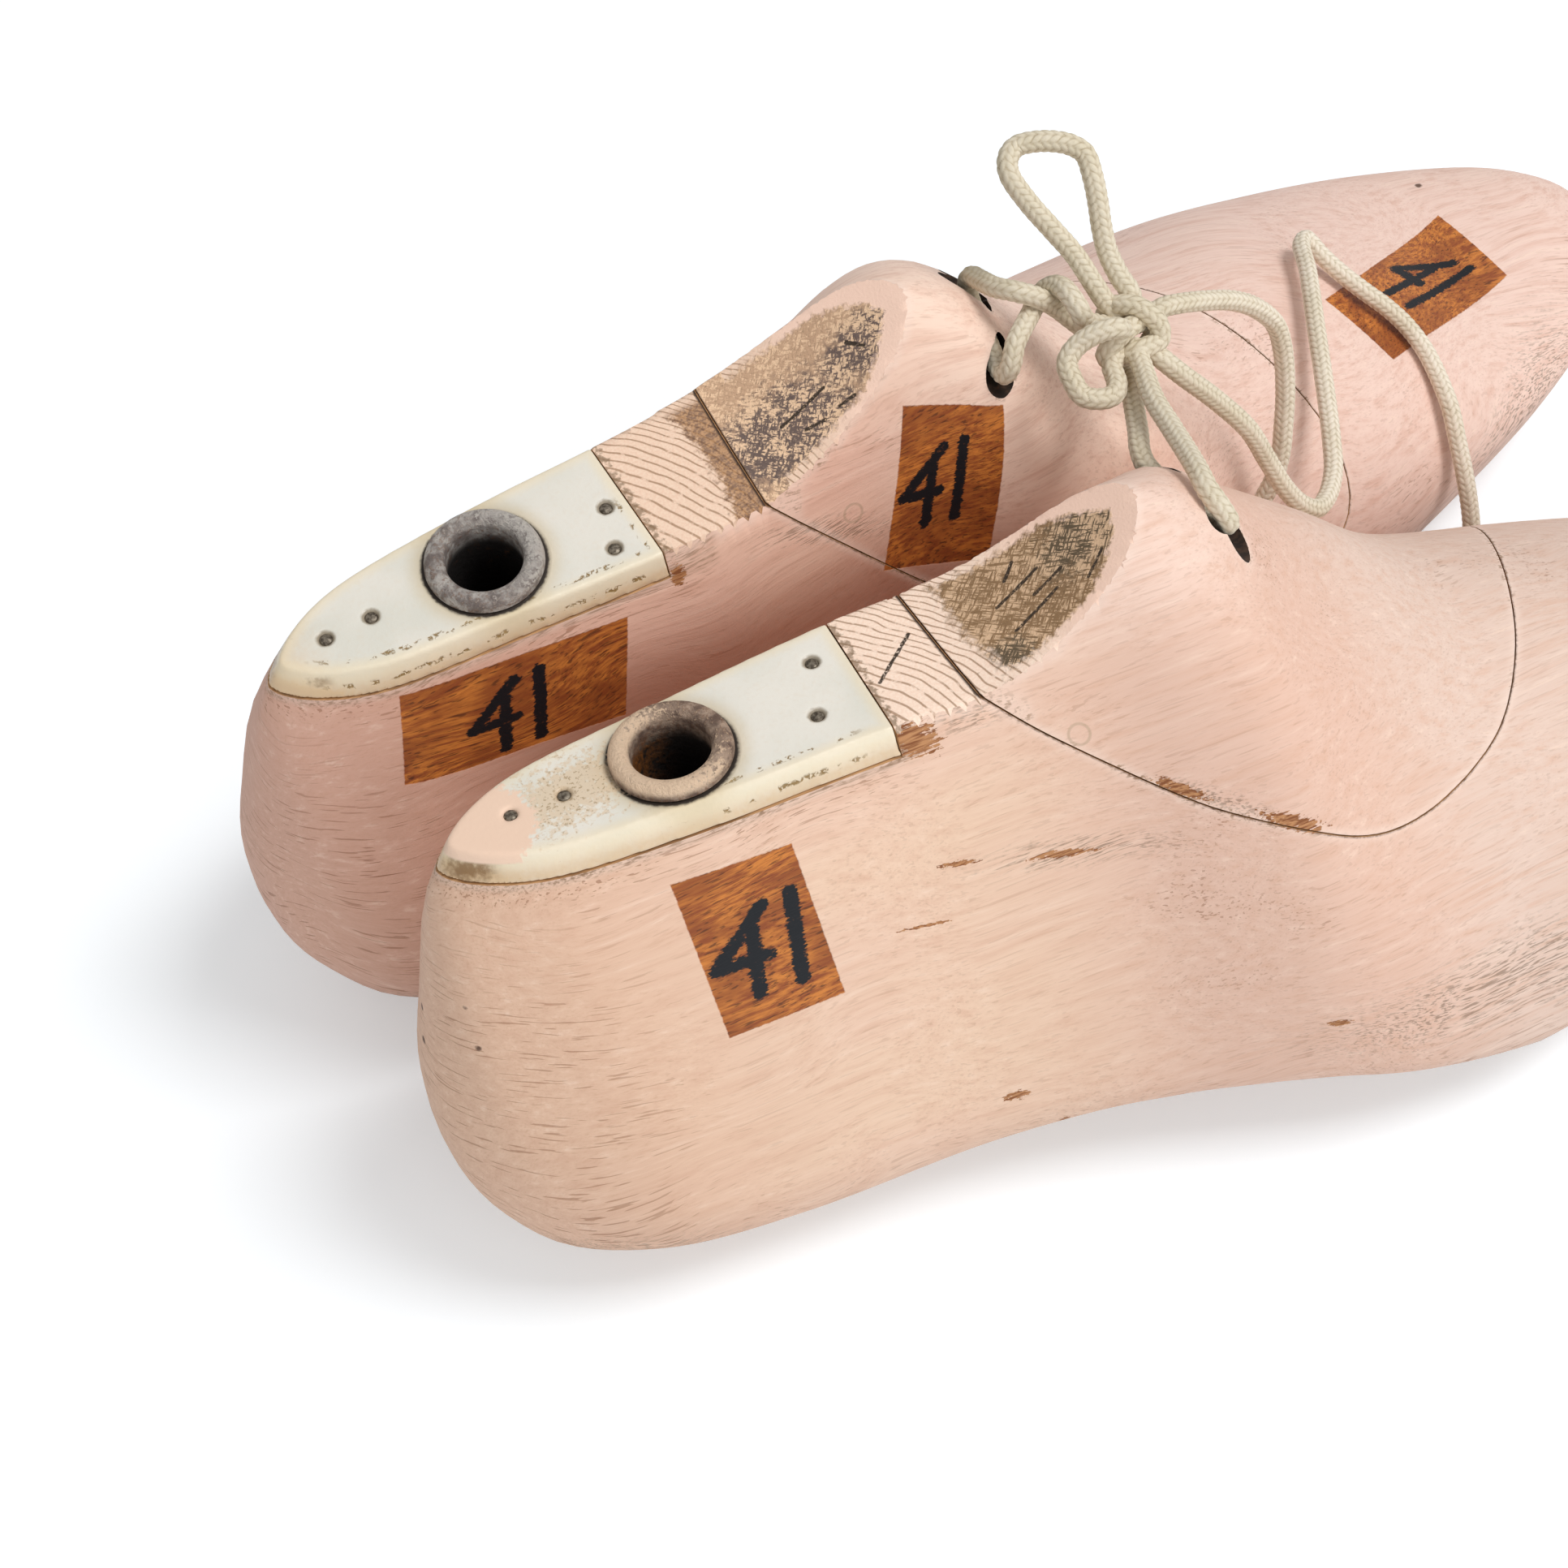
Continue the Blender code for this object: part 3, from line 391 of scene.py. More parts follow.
def section(x, inner):
    """One closed ring of the last at distance x from the heel, in metres."""
    sole, ridge, wide_in, wide_out, offset, waist, low, high = (rail_at(x) for rail_at in RAILS)
    waist = min(max(waist, sole + 0.12 * (ridge - sole)), ridge - 0.3 * (ridge - sole))
    middle = (wide_in - wide_out) / 2
    half = max((wide_in + wide_out) / 2, 0.3)
    ring = []
    for step in range(4 * QUARTER_STEPS):
        quarter, part = divmod(step, QUARTER_STEPS)
        if quarter in (1, 3):
            part = QUARTER_STEPS - part
        angle = part / QUARTER_STEPS * math.pi / 2
        power = low if quarter in (0, 3) else high
        across = half * math.sin(angle) ** (2 / power)
        rise = math.cos(angle) ** (2 / power)
        if quarter in (0, 3):
            up_to, shift = waist - (waist - sole) * rise, 0
        else:
            up_to, shift = waist + (ridge - waist) * rise, (offset - middle) * rise ** 1.3
        across = across if quarter < 2 else -across
        ring.append(Vector((x, inner * (middle + across + shift), up_to)) * MM)
    return ring


def ring_places():
    first = list(END_RINGS)
    last = [LAST_LENGTH - x for x in reversed(first)]
    count = round((last[0] - first[-1]) / RING_STEP)
    step = (last[0] - first[-1]) / count
    return first + [first[-1] + step * i for i in range(1, count)] + last


# %% Pull a face along rings
def loft(rings):
    """A closed solid: one face is pulled from ring to ring, and takes each ring's shape."""
    shape = bmesh.new()
    start = [shape.verts.new(point) for point in rings[0]]
    front = shape.faces.new(start)
    for ring in rings[1:]:
        front = bmesh.ops.extrude_discrete_faces(shape, faces=[front])["faces"][0]
        for corner, point in zip(front.verts, ring):
            corner.co = point
    shape.faces.new(start[::-1])
    bmesh.ops.recalc_face_normals(shape, faces=shape.faces)
    return shape


whole = {inner: loft([section(x, inner) for x in ring_places()]) for inner in (-1, 1)}
print("form", len(whole[1].verts), "points")

# %% [markdown]
# ## What the saw and the drill take away
# The top of each last is sawn flat over the heel and hollow up to the cone. A curved saw cut
# frees the instep block, so that the shoe can be pulled off the last. Each cutter is a solid a
# little larger than the wood, and the cuts are the same as the CAD model's.

# %% Cutters
TOP = 91.1                  # height of the flat sawn top over the sole
TOP_FLAT_END = 88
CONE_RISE = ((8.5, 1.8), (17, 5.8), (25, 11.2), (33, 17.2))
CONE_LEAD_IN = 30
CONE_RUN_OUT = 60
BEHIND = -20              # a place behind the heel, where cutters start
CUT_LINE = ((82.5, 99), (92, 88), (103.5, 76), (122.5, 60.5), (143, 50.5),
            (158, 43), (170, 40.8), (180, 44.3), (185.5, 52), (187, 62))
CUT_CLIMB = 0.37
CUT_SKEW = (0.25, 0.45)
CUT_SKEW_BETWEEN = (115, 165)
CUT_STRIPS = 28             # strips that the skewed cut is made of
KERF = 0.25
GAP = 0.3
PLATE_GAP = 0.1
PLATE_DEPTH = 4.4
REACH = 70                # how far a cutter goes out to each side
CEILING = 151.1
SAW_STEP = 1.1              # distance between the points of the saw's uneven surface
SAW_RELIEF = 0.10
SAW_ONSET = 8             # how far into the cone the unevenness grows to its full


def cutter(shape, look):
    """A hidden object that cuts, and leaves its material on the cut."""
    mesh = bpy.data.meshes.new("cutter")
    shape.to_mesh(mesh)
    shape.free()
    mesh.materials.append(looks[look])
    made = placed("cutter", mesh)
    made.hide_render = True
    return made


# %% Saw and plate cutters
def sawn_outline():
    """Outline of the waste above the heel and the cone, seen from the side."""
    points = ((-CONE_LEAD_IN, 0), (0, 0), *CONE_RISE)
    rise = [Vector((TOP_FLAT_END + x, TOP + z)) for x, z in points]
    slope = (rise[-1] - rise[-2]).normalized()
    curve = smooth_curve(rise, 8)[8:] + [rise[-1] + slope * CONE_RUN_OUT]
    flat = [Vector((TOP_FLAT_END - SAW_STEP * i, TOP)) for i in range(18, 0, -1)]
    return [Vector((BEHIND, TOP)), *flat, *curve, Vector((curve[-1].x, CEILING)),
            Vector((BEHIND, CEILING))]


def sawn_waste(look):
    """The waste above the sawn top, as slices across the last, a little uneven over the cone."""
    slices = [-REACH, *(SAW_STEP * i for i in range(-24, 25)), REACH]
    sides = []
    for y in slices:
        side = []
        for point in sawn_outline():
            rough = noise.noise(Vector((point.x * 0.5, y * 0.5, 0))) * SAW_RELIEF
            rough *= min(max((point.x - TOP_FLAT_END) / SAW_ONSET, 0), 1)
            side.append(Vector((point.x, y, point.y + rough)) * MM)
        sides.append(side)
    return cutter(loft(sides), look)


def block_space(inner, inset):
    """Everything above the skewed saw cut, less an inset, as rings from one side to the other."""
    curve = smooth_curve([Vector(p) for p in CUT_LINE], 8)
    line = []
    for i, point in enumerate(curve):
        run = curve[min(i + 1, len(curve) - 1)] - curve[max(i - 1, 0)]
        line.append(point + Vector((-run.y, run.x)).normalized() * inset)
    line += [Vector((line[-1].x, CEILING)), Vector((line[0].x, CEILING))]
    sides = []
    for strip in range(CUT_STRIPS + 1):
        across = (2 * strip / CUT_STRIPS - 1) * REACH
        side = []
        for point in line:
            share = (point.x - CUT_SKEW_BETWEEN[0]) / (CUT_SKEW_BETWEEN[1] - CUT_SKEW_BETWEEN[0])
            share = min(max(share, 0), 1)
            share = share * share * (3 - 2 * share)
            skew = CUT_SKEW[0] + (CUT_SKEW[1] - CUT_SKEW[0]) * share
            side.append(Vector((point.x - skew * across, inner * across,
                                point.y + CUT_CLIMB * across)) * MM)
        sides.append(side)
    return loft(sides)


def plate_space(front, inset):
    """The step in the sawn top that the plate fills, less an inset."""
    shape = bmesh.new()
    bmesh.ops.create_cube(shape, size=1)
    low = Vector((BEHIND, -REACH, TOP - PLATE_DEPTH + inset))
    high = Vector((front - inset, REACH, CEILING))
    bmesh.ops.scale(shape, vec=(high - low) * MM, verts=shape.verts)
    bmesh.ops.translate(shape, vec=(high + low) / 2 * MM, verts=shape.verts)
    return shape


# %% Turned and straight round shapes
def turned(profile, steps=48):
    """A solid spun about Z from points of radius and height, in millimetres."""
    shape = bmesh.new()
    points = [shape.verts.new((radius * MM, 0, height * MM)) for radius, height in profile]
    edges = [shape.edges.new(pair) for pair in zip(points, points[1:])]
    if profile[0][0] > 0:
        edges.append(shape.edges.new((points[-1], points[0])))
    bmesh.ops.spin(shape, geom=points + edges, angle=2 * math.pi, steps=steps, axis=(0, 0, 1),
                   cent=(0, 0, 0), use_merge=True)
    bmesh.ops.remove_doubles(shape, verts=shape.verts, dist=1e-6)
    bmesh.ops.recalc_face_normals(shape, faces=shape.faces)
    return shape


def rod(radius, start, end, sides=32):
    """A round bar between two points, in millimetres."""
    along = end - start
    shape = bmesh.new()
    bmesh.ops.create_cone(shape, cap_ends=True, segments=sides, radius1=radius * MM,
                          radius2=radius * MM, depth=along.length * MM)
    turn = along.to_track_quat("Z", "Y").to_matrix().to_4x4()
    bmesh.ops.transform(shape, matrix=Matrix.Translation((start + end) / 2 * MM) @ turn,
                        verts=shape.verts)
    return shape


def moved(shape, x, y):
    bmesh.ops.translate(shape, vec=Vector((x, y, 0)) * MM, verts=shape.verts)
    return shape


# %% Carve a piece out of the form
def applied(made):
    """The mesh that an object's modifiers give. The modifiers go."""
    depsgraph = bpy.context.evaluated_depsgraph_get()
    mesh = bpy.data.meshes.new_from_object(made.evaluated_get(depsgraph), depsgraph=depsgraph)
    made.modifiers.clear()
    return mesh


def carve(name, shape, look, keep=None, cuts=()):
    """The shape kept inside one cutter and cut by the others, as a mesh with its materials."""
    mesh = bpy.data.meshes.new(name)
    shape.to_mesh(mesh)
    made = placed(name, mesh)
    mesh.materials.append(looks[look])
    for tool in ([keep] if keep else []) + list(cuts):
        step = made.modifiers.new("cut", "BOOLEAN")
        step.operation = "INTERSECT" if tool is keep else "DIFFERENCE"
        step.solver = "EXACT"
        step.material_mode = "TRANSFER"
        step.object = tool
    made.data = applied(made)
    bpy.data.meshes.remove(mesh)
    made.data.name = name
    return made


# %% [markdown]
# ## Where each last stands
# Both lasts are made in a frame of their own, from the heel along X and up from the sole. The
# real ones stand with a slight lean and a slight turn, so each finished mesh is turned into
# place. Before that it notes every point's place on the last, in millimetres, with Y towards
# the inner side. The paint reads that note, so the same pattern fits the left and the right.

# %% Places of the two lasts
LASTS = {
    "left": {"inner": -1, "at": (-0.1396, -0.0261, 0.0009204), "lean": -7.5, "turn": -4.6,
             "plate_front": 77.2,
             "nails": ((24.3, -0.9), (32.1, -0.6), (68.8, 3.2), (72.2, -6.4))},
    "right": {"inner": 1, "at": (-0.1469, 0.0329, 0.0004944), "lean": 5.3, "turn": 2,
              "plate_front": 71.4,
              "nails": ((22.3, 0.4), (29.6, 0.4), (65.6, -7.4), (68, -0.4))},
}


# %% Distances to edges
def tree_of(points):
    """The points as a tree that finds the nearest one, or nothing where there are none."""
    tree = KDTree(len(points))
    for number, point in enumerate(points):
        tree.insert(point, number)
    tree.balance()
    return tree if points else None


def sawn_edges(mesh):
    """Points along the edges where two finishes of a piece meet, as a tree to search."""
    meets = {}
    for face in mesh.polygons:
        for key in face.edge_keys:
            meets.setdefault(key, set()).add(face.material_index)
    found = []
    for first, second in (key for key, kinds in meets.items() if len(kinds) > 1):
        start, end = mesh.vertices[first].co, mesh.vertices[second].co
        pieces = max(1, round((end - start).length / MM))
        found += [start.lerp(end, i / pieces) for i in range(pieces + 1)]
    return tree_of(found)


# %% Settle a piece in its place
FAR = 99                  # stands for a distance that doesn't matter


def settle(made, side, body, node, cut_tree=None, edge_tree=None):
    """Note the places on the last, turn the mesh into place and tie it to its CAD node."""
    spec = LASTS[side]
    mesh = made.data
    for name, kind in (("place", "FLOAT_VECTOR"), ("from_cut", "FLOAT"), ("from_edge", "FLOAT")):
        mesh.attributes.new(name, kind, "POINT")
    notes, cuts, edges = (mesh.attributes[name].data for name in ("place", "from_cut", "from_edge"))
    for vertex, note, cut, edge in zip(mesh.vertices, notes, cuts, edges):
        note.vector = Vector((vertex.co.x, spec["inner"] * vertex.co.y, vertex.co.z)) / MM
        cut.value = cut_tree.find_nearest(vertex.co)[3] / MM if cut_tree else FAR
        edge.value = edge_tree.find(vertex.co)[2] / MM if edge_tree else FAR
    turn = Euler((math.radians(spec["lean"]), 0, math.radians(spec["turn"]))).to_matrix()
    mesh.transform(Matrix.Translation(spec["at"]) @ turn.to_4x4())
    shade(mesh)
    mesh.update()
    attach(made, body)
    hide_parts(node)
    print(made.name, len(mesh.polygons), "faces")


# %% Socket, nails and holes
SOCKET_X = 48
BORE = 5.7                  # radius
WALL = 1
SOCKET_LENGTH = 40
FLANGE = 8.9                # radius of the rolled rim
ROLL_HEIGHT = 2
ROLL_STEPS = 14
FLOOR_OF_BORE = 52        # depth under the top


def socket_profile():
    """A drawn steel tube whose rim is rolled out over the plate and turned down at its edge."""
    roll = (FLANGE - BORE) / 2
    turns = [math.pi * i / ROLL_STEPS for i in range(ROLL_STEPS + 1)]
    arc = [(BORE + roll - roll * math.cos(turn), TOP + GAP + ROLL_HEIGHT * math.sin(turn) ** 0.8)
           for turn in turns]
    foot = TOP - SOCKET_LENGTH
    lower = [(BORE, foot + 1.5 * i) for i in range(27)]
    return [(BORE + WALL, TOP + GAP), (BORE + WALL, foot), *lower, *arc]


def nail_hole():
    """What a nail takes out of the plate and the wood, a little wider than the nail."""
    head, shank = 1.05 + PLATE_GAP, 0.75 + PLATE_GAP
    top, neck, tip = TOP + 2, TOP - 0.6 - PLATE_GAP, TOP - 12 - PLATE_GAP
    return [(0, top), (head, top), (head, neck), (shank, neck), (shank, tip + 1.5), (0, tip)]


def domed_nail():
    """A tack whose head is slightly domed and sits a little below the plate."""
    dome = [(1 * math.sin(math.pi / 2 * i / 6), TOP - 0.50 + 0.40 * math.cos(math.pi / 2 * i / 6))
            for i in range(7)]
    return [*dome, (1, TOP - 0.70), (0.7, TOP - 0.70), (0.7, TOP - 10.5), (0, TOP - 12)]


# %% Wear the sawn edges
def rub(shape, points, strength, times):
    """Smooth some points of a shape, so that edges between them grow round."""
    for _ in range(times):
        bmesh.ops.smooth_vert(shape, verts=points, factor=strength, use_axis_x=True,
                              use_axis_y=True, use_axis_z=True)


def wear_edges(mesh, first, second):
    """Pull in the edge where two finishes meet, as handling does."""
    pair = {i for i, look in enumerate(mesh.materials) if look in (looks[first], looks[second])}
    shape = bmesh.new()
    shape.from_mesh(mesh)
    worn = {vertex for edge in shape.edges if len(edge.link_faces) == 2
            and {face.material_index for face in edge.link_faces} == pair for vertex in edge.verts}
    rub(shape, list(worn), 0.45, 2)
    shape.to_mesh(mesh)
    shape.free()


# %% Soften the plate
PLATE_GRID = 0.36
PLATE_FOOT = 87.3
RIM_DEPTH = 1.2
RIM_TILT = (0.3, 0.85)      # how far up the faces of the rounded rim look
ROUND_SOCKET = 9.5          # radii inside which an edge is that of a hole, not of the rim
ROUND_NAIL = 2.4


def soften(made, spec):
    """Rebuild a plate on a fine grid and round all but its foot. Gives the rim as a tree."""
    holes = [(SOCKET_X, 0, ROUND_SOCKET),
             *((x, spec["inner"] * y, ROUND_NAIL) for x, y in spec["nails"])]
    grid = made.modifiers.new("grid", "REMESH")
    grid.mode, grid.voxel_size = "VOXEL", PLATE_GRID * MM
    mesh = made.data = applied(made)
    shape = bmesh.new()
    shape.from_mesh(mesh)
    rub(shape, [v for v in shape.verts if v.co.z > PLATE_FOOT * MM], 0.5, 6)
    shape.to_mesh(mesh)
    shape.free()
    low, high = RIM_TILT
    return tree_of([v.co for v in mesh.vertices
                    if v.co.z > (TOP - RIM_DEPTH) * MM and low < v.normal.z < high
                    and all(math.hypot(v.co.x / MM - x, v.co.y / MM - y) > r
                            for x, y, r in holes)])


# %% Drills
CORD_HOLE = 2.6             # radius
HOLE_OUTER = (129.5, -12, 96.2)
HOLE_INNER = (133, 1.5, 96.2)
HOLE_REACH = 20
WORN_HOLE = 3.1             # radius of the hole's inner mouth, which the cord has worn wide
HOLE_MOUTH = (133.2, 2, 97.9)
MOUTH_FACING = (-0.10, 0.74, 0.66)
MOUTH_DEPTH, MOUTH_REACH = 3.2, 12


def bore_hole():
    """The stepped hole that the socket stands in, and the pin of the jack below it."""
    sleeve, foot = BORE + WALL + GAP, TOP - SOCKET_LENGTH - GAP
    end = TOP - FLOOR_OF_BORE
    profile = [(0, CEILING), (sleeve, CEILING), (sleeve, foot), (BORE, foot), (BORE, end),
               (0, end)]
    return cutter(moved(turned(profile), SOCKET_X, 0), "drilled_hole")


def cord_holes(inner):
    """The drilled hole for the cord, and its worn mouth."""
    outer, near, mouth, facing = (Vector((x, inner * y, z)) for x, y, z in
                                  (HOLE_OUTER, HOLE_INNER, HOLE_MOUTH, MOUTH_FACING))
    over = (near - outer).normalized() * HOLE_REACH
    return [cutter(rod(CORD_HOLE, outer - over, near + over), "drilled_hole"),
            cutter(rod(WORN_HOLE, mouth - facing * MOUTH_DEPTH, mouth + facing * MOUTH_REACH),
                   "drilled_hole")]


# %% Build both lasts
for side, spec in LASTS.items():
    inner = spec["inner"]
    form = whole[inner]
    above = sawn_waste("sawn_" + side)
    block_cut = cutter(block_space(inner, 0), "saw_cut")
    block_fit = cutter(block_space(inner, KERF), "saw_cut")
    plate_cut = cutter(plate_space(spec["plate_front"], 0), "saw_cut")
    plate_fit = cutter(plate_space(spec["plate_front"], PLATE_GAP), "ivory_" + side)
    bore = bore_hole()
    nail_holes = [cutter(moved(turned(nail_hole(), 24), x, inner * y), "drilled_hole")
                  for x, y in spec["nails"]]
    through = cord_holes(inner)

    cut_mesh = block_cut.data
    cut_tree = BVHTree.FromPolygons([v.co for v in cut_mesh.vertices],
                                    [p.vertices[:] for p in cut_mesh.polygons])

    body = carve(side + "_wooden_last", form, "painted_" + side, None,
                 [above, block_cut, plate_cut, bore, *nail_holes])
    wear_edges(body.data, "painted_" + side, "sawn_" + side)
    settle(body, side, "lasts", side + "_last_body", cut_tree,
           sawn_edges(body.data))
    block = carve(side + "_wooden_block", form, "painted_" + side, block_fit,
                  [above, *through])
    wear_edges(block.data, "painted_" + side, "sawn_" + side)
    settle(block, side, side + "_block", side + "_instep_block", cut_tree,
           sawn_edges(block.data))
    plate = carve(side + "_ivory_plate", form, "ivory_" + side, plate_fit,
                  [above, bore, *nail_holes])
    rim = soften(plate, spec)
    plate.data.materials.clear()
    plate.data.materials.append(looks["ivory_" + side])
    settle(plate, side, "lasts", side + "_heel_plate", None, rim)

    socket = carve(side + "_rolled_socket", moved(turned(socket_profile(), 64), SOCKET_X, 0),
                   "steel_" + side)
    settle(socket, side, "lasts", side + "_socket")
    for number, (x, y) in enumerate(spec["nails"], 1):
        nail = carve(f"{side}_tack_{number}", moved(turned(domed_nail(), 20), x, inner * y),
                     "nail_steel")
        settle(nail, side, "lasts", f"{side}_plate_nail_{number}")
    for tool in [above, block_cut, block_fit, plate_cut, plate_fit, bore, *through, *nail_holes]:
        bpy.data.objects.remove(tool)

for form in whole.values():
    form.free()

# %% Keep the CAD's own straps and pins
for name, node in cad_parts.items():
    if "strap" in name or "catch_pin" in name:
        node.data.materials.clear()
        node.data.materials.append(looks["strap_steel"])

# %% [markdown]
# ## Shader sums as plain sums
# A node tree is hard to read as a list of nodes and links. A small class wraps an output socket
# and adds a Math node for each sign in a sum, so that a mask can be written as `1 - mask`. A
# second class holds a material's nodes and the colour that its layers have reached so far.


# %% Sockets that can be added and multiplied
def sign(operation, swapped=False):
    """A method that adds the Math node of one operation."""
    def method(self, other=0):
        terms = (other, self) if swapped else (self, other)
        return self.finish.node("Math", {"operation": operation}, *terms)
    return method


class Value:
    """An output socket of a finish, used in sums."""
    __add__ = __radd__ = sign("ADD")
    __mul__ = __rmul__ = sign("MULTIPLY")
    __sub__, __rsub__ = sign("SUBTRACT"), sign("SUBTRACT", swapped=True)
    __truediv__, __pow__ = sign("DIVIDE"), sign("POWER")
    least, most = sign("MINIMUM"), sign("MAXIMUM")
    size, part = sign("ABSOLUTE"), sign("FRACT")     # without its minus, and after its point

    def __init__(self, finish, socket):
        self.finish, self.socket = finish, socket

    def clamp(self):
        """Kept between 0 and 1."""
        return self.finish.node("Math", {"operation": "MULTIPLY", "use_clamp": True}, self, 1)

    def fade(self, low, high):
        """0 at low, 1 at high, smooth between."""
        return self.finish.node("MapRange", {"interpolation_type": "SMOOTHSTEP"}, self, low, high)


def srgb(code):
    """A colour given as six hex digits, as light."""
    parts = (int(code[i:i + 2], 16) / 255 for i in (0, 2, 4))
    return tuple(p / 12.92 if p <= 0.04045 else ((p + 0.055) / 1.055) ** 2.4 for p in parts)


# %% A material and its layers
class Finish:
    """The nodes of one material. Its place is that on the last, or else the object's own."""

    def __init__(self, name, on_last=True):
        self.name, self.tree = name, looks[name].node_tree
        self.shader = self.tree.nodes["Principled BSDF"]
        self.place = (self.note("place", "Vector") if on_last
                      else self.node("TexCoord", {}, out="Object"))
        parts = self.node("SeparateXYZ", {}, self.place).socket.node.outputs
        self.x, self.y, self.z = (Value(self, part) for part in parts)

    def give(self, socket, term):
        """Link a value to a socket, or write a number, a vector or a colour there."""
        if isinstance(term, Value):
            self.tree.links.new(term.socket, socket)
        elif socket.type == "RGBA":
            socket.default_value = (*(srgb(term) if isinstance(term, str) else term), 1)
        else:
            socket.default_value = term

    def node(self, kind, settings, *terms, out=0, **named):
        made = self.tree.nodes.new("ShaderNode" + kind)
        for setting, value in settings.items():
            setattr(made, setting, value)
        for key, term in (*enumerate(terms), *named.items()):
            self.give(made.inputs[key], term)
        return Value(self, made.outputs[out])

    def note(self, name, out="Fac"):
        """What the mesh notes at its points under a name."""
        return self.node("Attribute", {"attribute_name": name}, out=out)

    def noise(self, scale, detail=3, roughness=0.55, at=None):
        """Noise from 0 to 1. Three scales stretch it along X, Y and Z."""
        at = at or self.place
        if isinstance(scale, tuple):
            at, scale = self.node("VectorMath", {"operation": "MULTIPLY"}, at, scale), 1
        return self.node("TexNoise", {}, Vector=at, Scale=scale, Detail=detail,
                         Roughness=roughness)

    def mix(self, amount, first, second):
        """The second colour over the first."""
        made = self.tree.nodes.new("ShaderNodeMix")
        made.data_type = "RGBA"
        for key, term in ((0, amount), (6, first), (7, second)):
            self.give(made.inputs[key], term)
        return Value(self, made.outputs[2])

    def cover(self, amount, colour):
        """Lay a colour over what is there so far."""
        self.colour = self.mix(amount, self.colour, colour)

    def surface(self, bump=None, **sockets):
        """Hand the colour and the rest to the shader. A bump is height, strength and distance."""
        self.give(self.shader.inputs["Base Color"], self.colour)
        for name, term in sockets.items():
            self.give(self.shader.inputs[name.replace("_", " ")], term)
        if bump:
            height, strength, distance = bump
            made = self.node("Bump", {}, Strength=strength, Distance=distance, Height=height)
            self.give(self.shader.inputs["Normal"], made)
        print(self.name, len(self.tree.nodes), "nodes")


# %% [markdown]
# ## Shapes drawn on the last
# A worn spot, a bare patch and a pencil stroke all sit at a known place, so they are drawn from
# their distance to each point of the surface, in the last's own millimetres. That needs no
# image, stays sharp from near by, and lets noise be added to the distance for a ragged edge.

# %% Ellipses, patches and strokes
def nearest(distances):
    """The least of some values."""
    least = None
    for distance in distances:
        least = distance if least is None else least.least(distance)
    return least


def blot(u, v, marks):
    """0 in the middle of the nearest mark and 1 at its edge. A mark is centre, radii and turn."""
    def distance(cu, cv, ru, rv, turn):
        c, s = math.cos(math.radians(turn)), math.sin(math.radians(turn))
        du, dv = u - cu, v - cv
        along, across = (du * c + dv * s) / ru, (dv * c - du * s) / rv
        return (along * along + across * across) ** 0.5
    return nearest(distance(*mark) for mark in marks)


def patch(u, v, corners):
    """How far a place is inside a four-sided patch, in millimetres."""
    corners = [Vector(corner) for corner in corners]
    middle = sum(corners, Vector((0, 0))) / len(corners)
    edges = []
    for first, second in zip(corners, corners[1:] + corners[:1]):
        normal = Vector((second.y - first.y, first.x - second.x)).normalized()
        if normal.dot(middle - first) < 0:
            normal = -normal
        edges.append(u * normal.x + v * normal.y - normal.dot(first))
    return nearest(edges)


def strokes(u, v, lines):
    """Distance to the nearest of some straight strokes."""
    def distance(u1, v1, u2, v2):
        run = Vector((u2 - u1, v2 - v1))
        du, dv = u - u1, v - v1
        share = ((du * run.x + dv * run.y) / run.length_squared).clamp()
        du, dv = du - share * run.x, dv - share * run.y
        return (du * du + dv * dv) ** 0.5
    return nearest(distance(*line) for line in lines)


# The size number, in a frame one unit high.
FORTY_ONE = ((0.36, 0.97, -0.10, 0.42), (-0.10, 0.42, 0.36, 0.41), (0.25, 0.74, 0.24, 0),
             (0.62, 0, 0.62, 1))


def number(u, v, origin, along, upward):
    """Distance to the strokes of the painted number, in units of its height."""
    turn = Matrix(((along[0], upward[0]), (along[1], upward[1]))).inverted()
    du, dv = u - origin[0], v - origin[1]
    return strokes(du * turn[0][0] + dv * turn[0][1], du * turn[1][0] + dv * turn[1][1], FORTY_ONE)


# %% [markdown]
# ## Chalky pink paint over beech
# The paint was brushed on thin along the last, over turned wood. So the pattern is stretched
# along the last: broad brush streaks, then fine brown pores that show where the paint sank in.
# Round the heel the turning marks run level, and the pores follow them.

# %% Patterns that the layers of paint share
def patterns(paint, side):
    """Noises along the brushed flow, and which flank the photograph shows."""
    paint.shown = (paint.y if side == "left" else 0 - paint.y).fade(-0.5, 0.5)
    drift = paint.noise((0.022, 0.03, 0.03), 1) * 22
    flow = paint.flow = paint.node("VectorMath", {"operation": "ADD"}, paint.place,
                                   paint.node("CombineXYZ", {}, 0, drift, drift))
    paint.jitter = paint.noise(1.4, 2) - 0.5
    paint.streaks = paint.noise((0.035, 0.75, 0.75), 5, 0.62, flow)
    paint.hair = paint.noise((0.12, 3, 3), 3, 0.6, flow)
    paint.pores = paint.noise((0.30, 2.9, 2.9), 2, 0.5, flow)
    paint.specks = paint.noise(1.1, 2, 0.5)
    paint.amount = paint.noise((0.03, 0.06, 0.06), 3, 0.6)


# %% Coats of paint
COATS = {"left": ("ebcab0", "e9c5af", "d7aa90"), "right": ("ecc6b0", "e9beab", "d2a18b")}
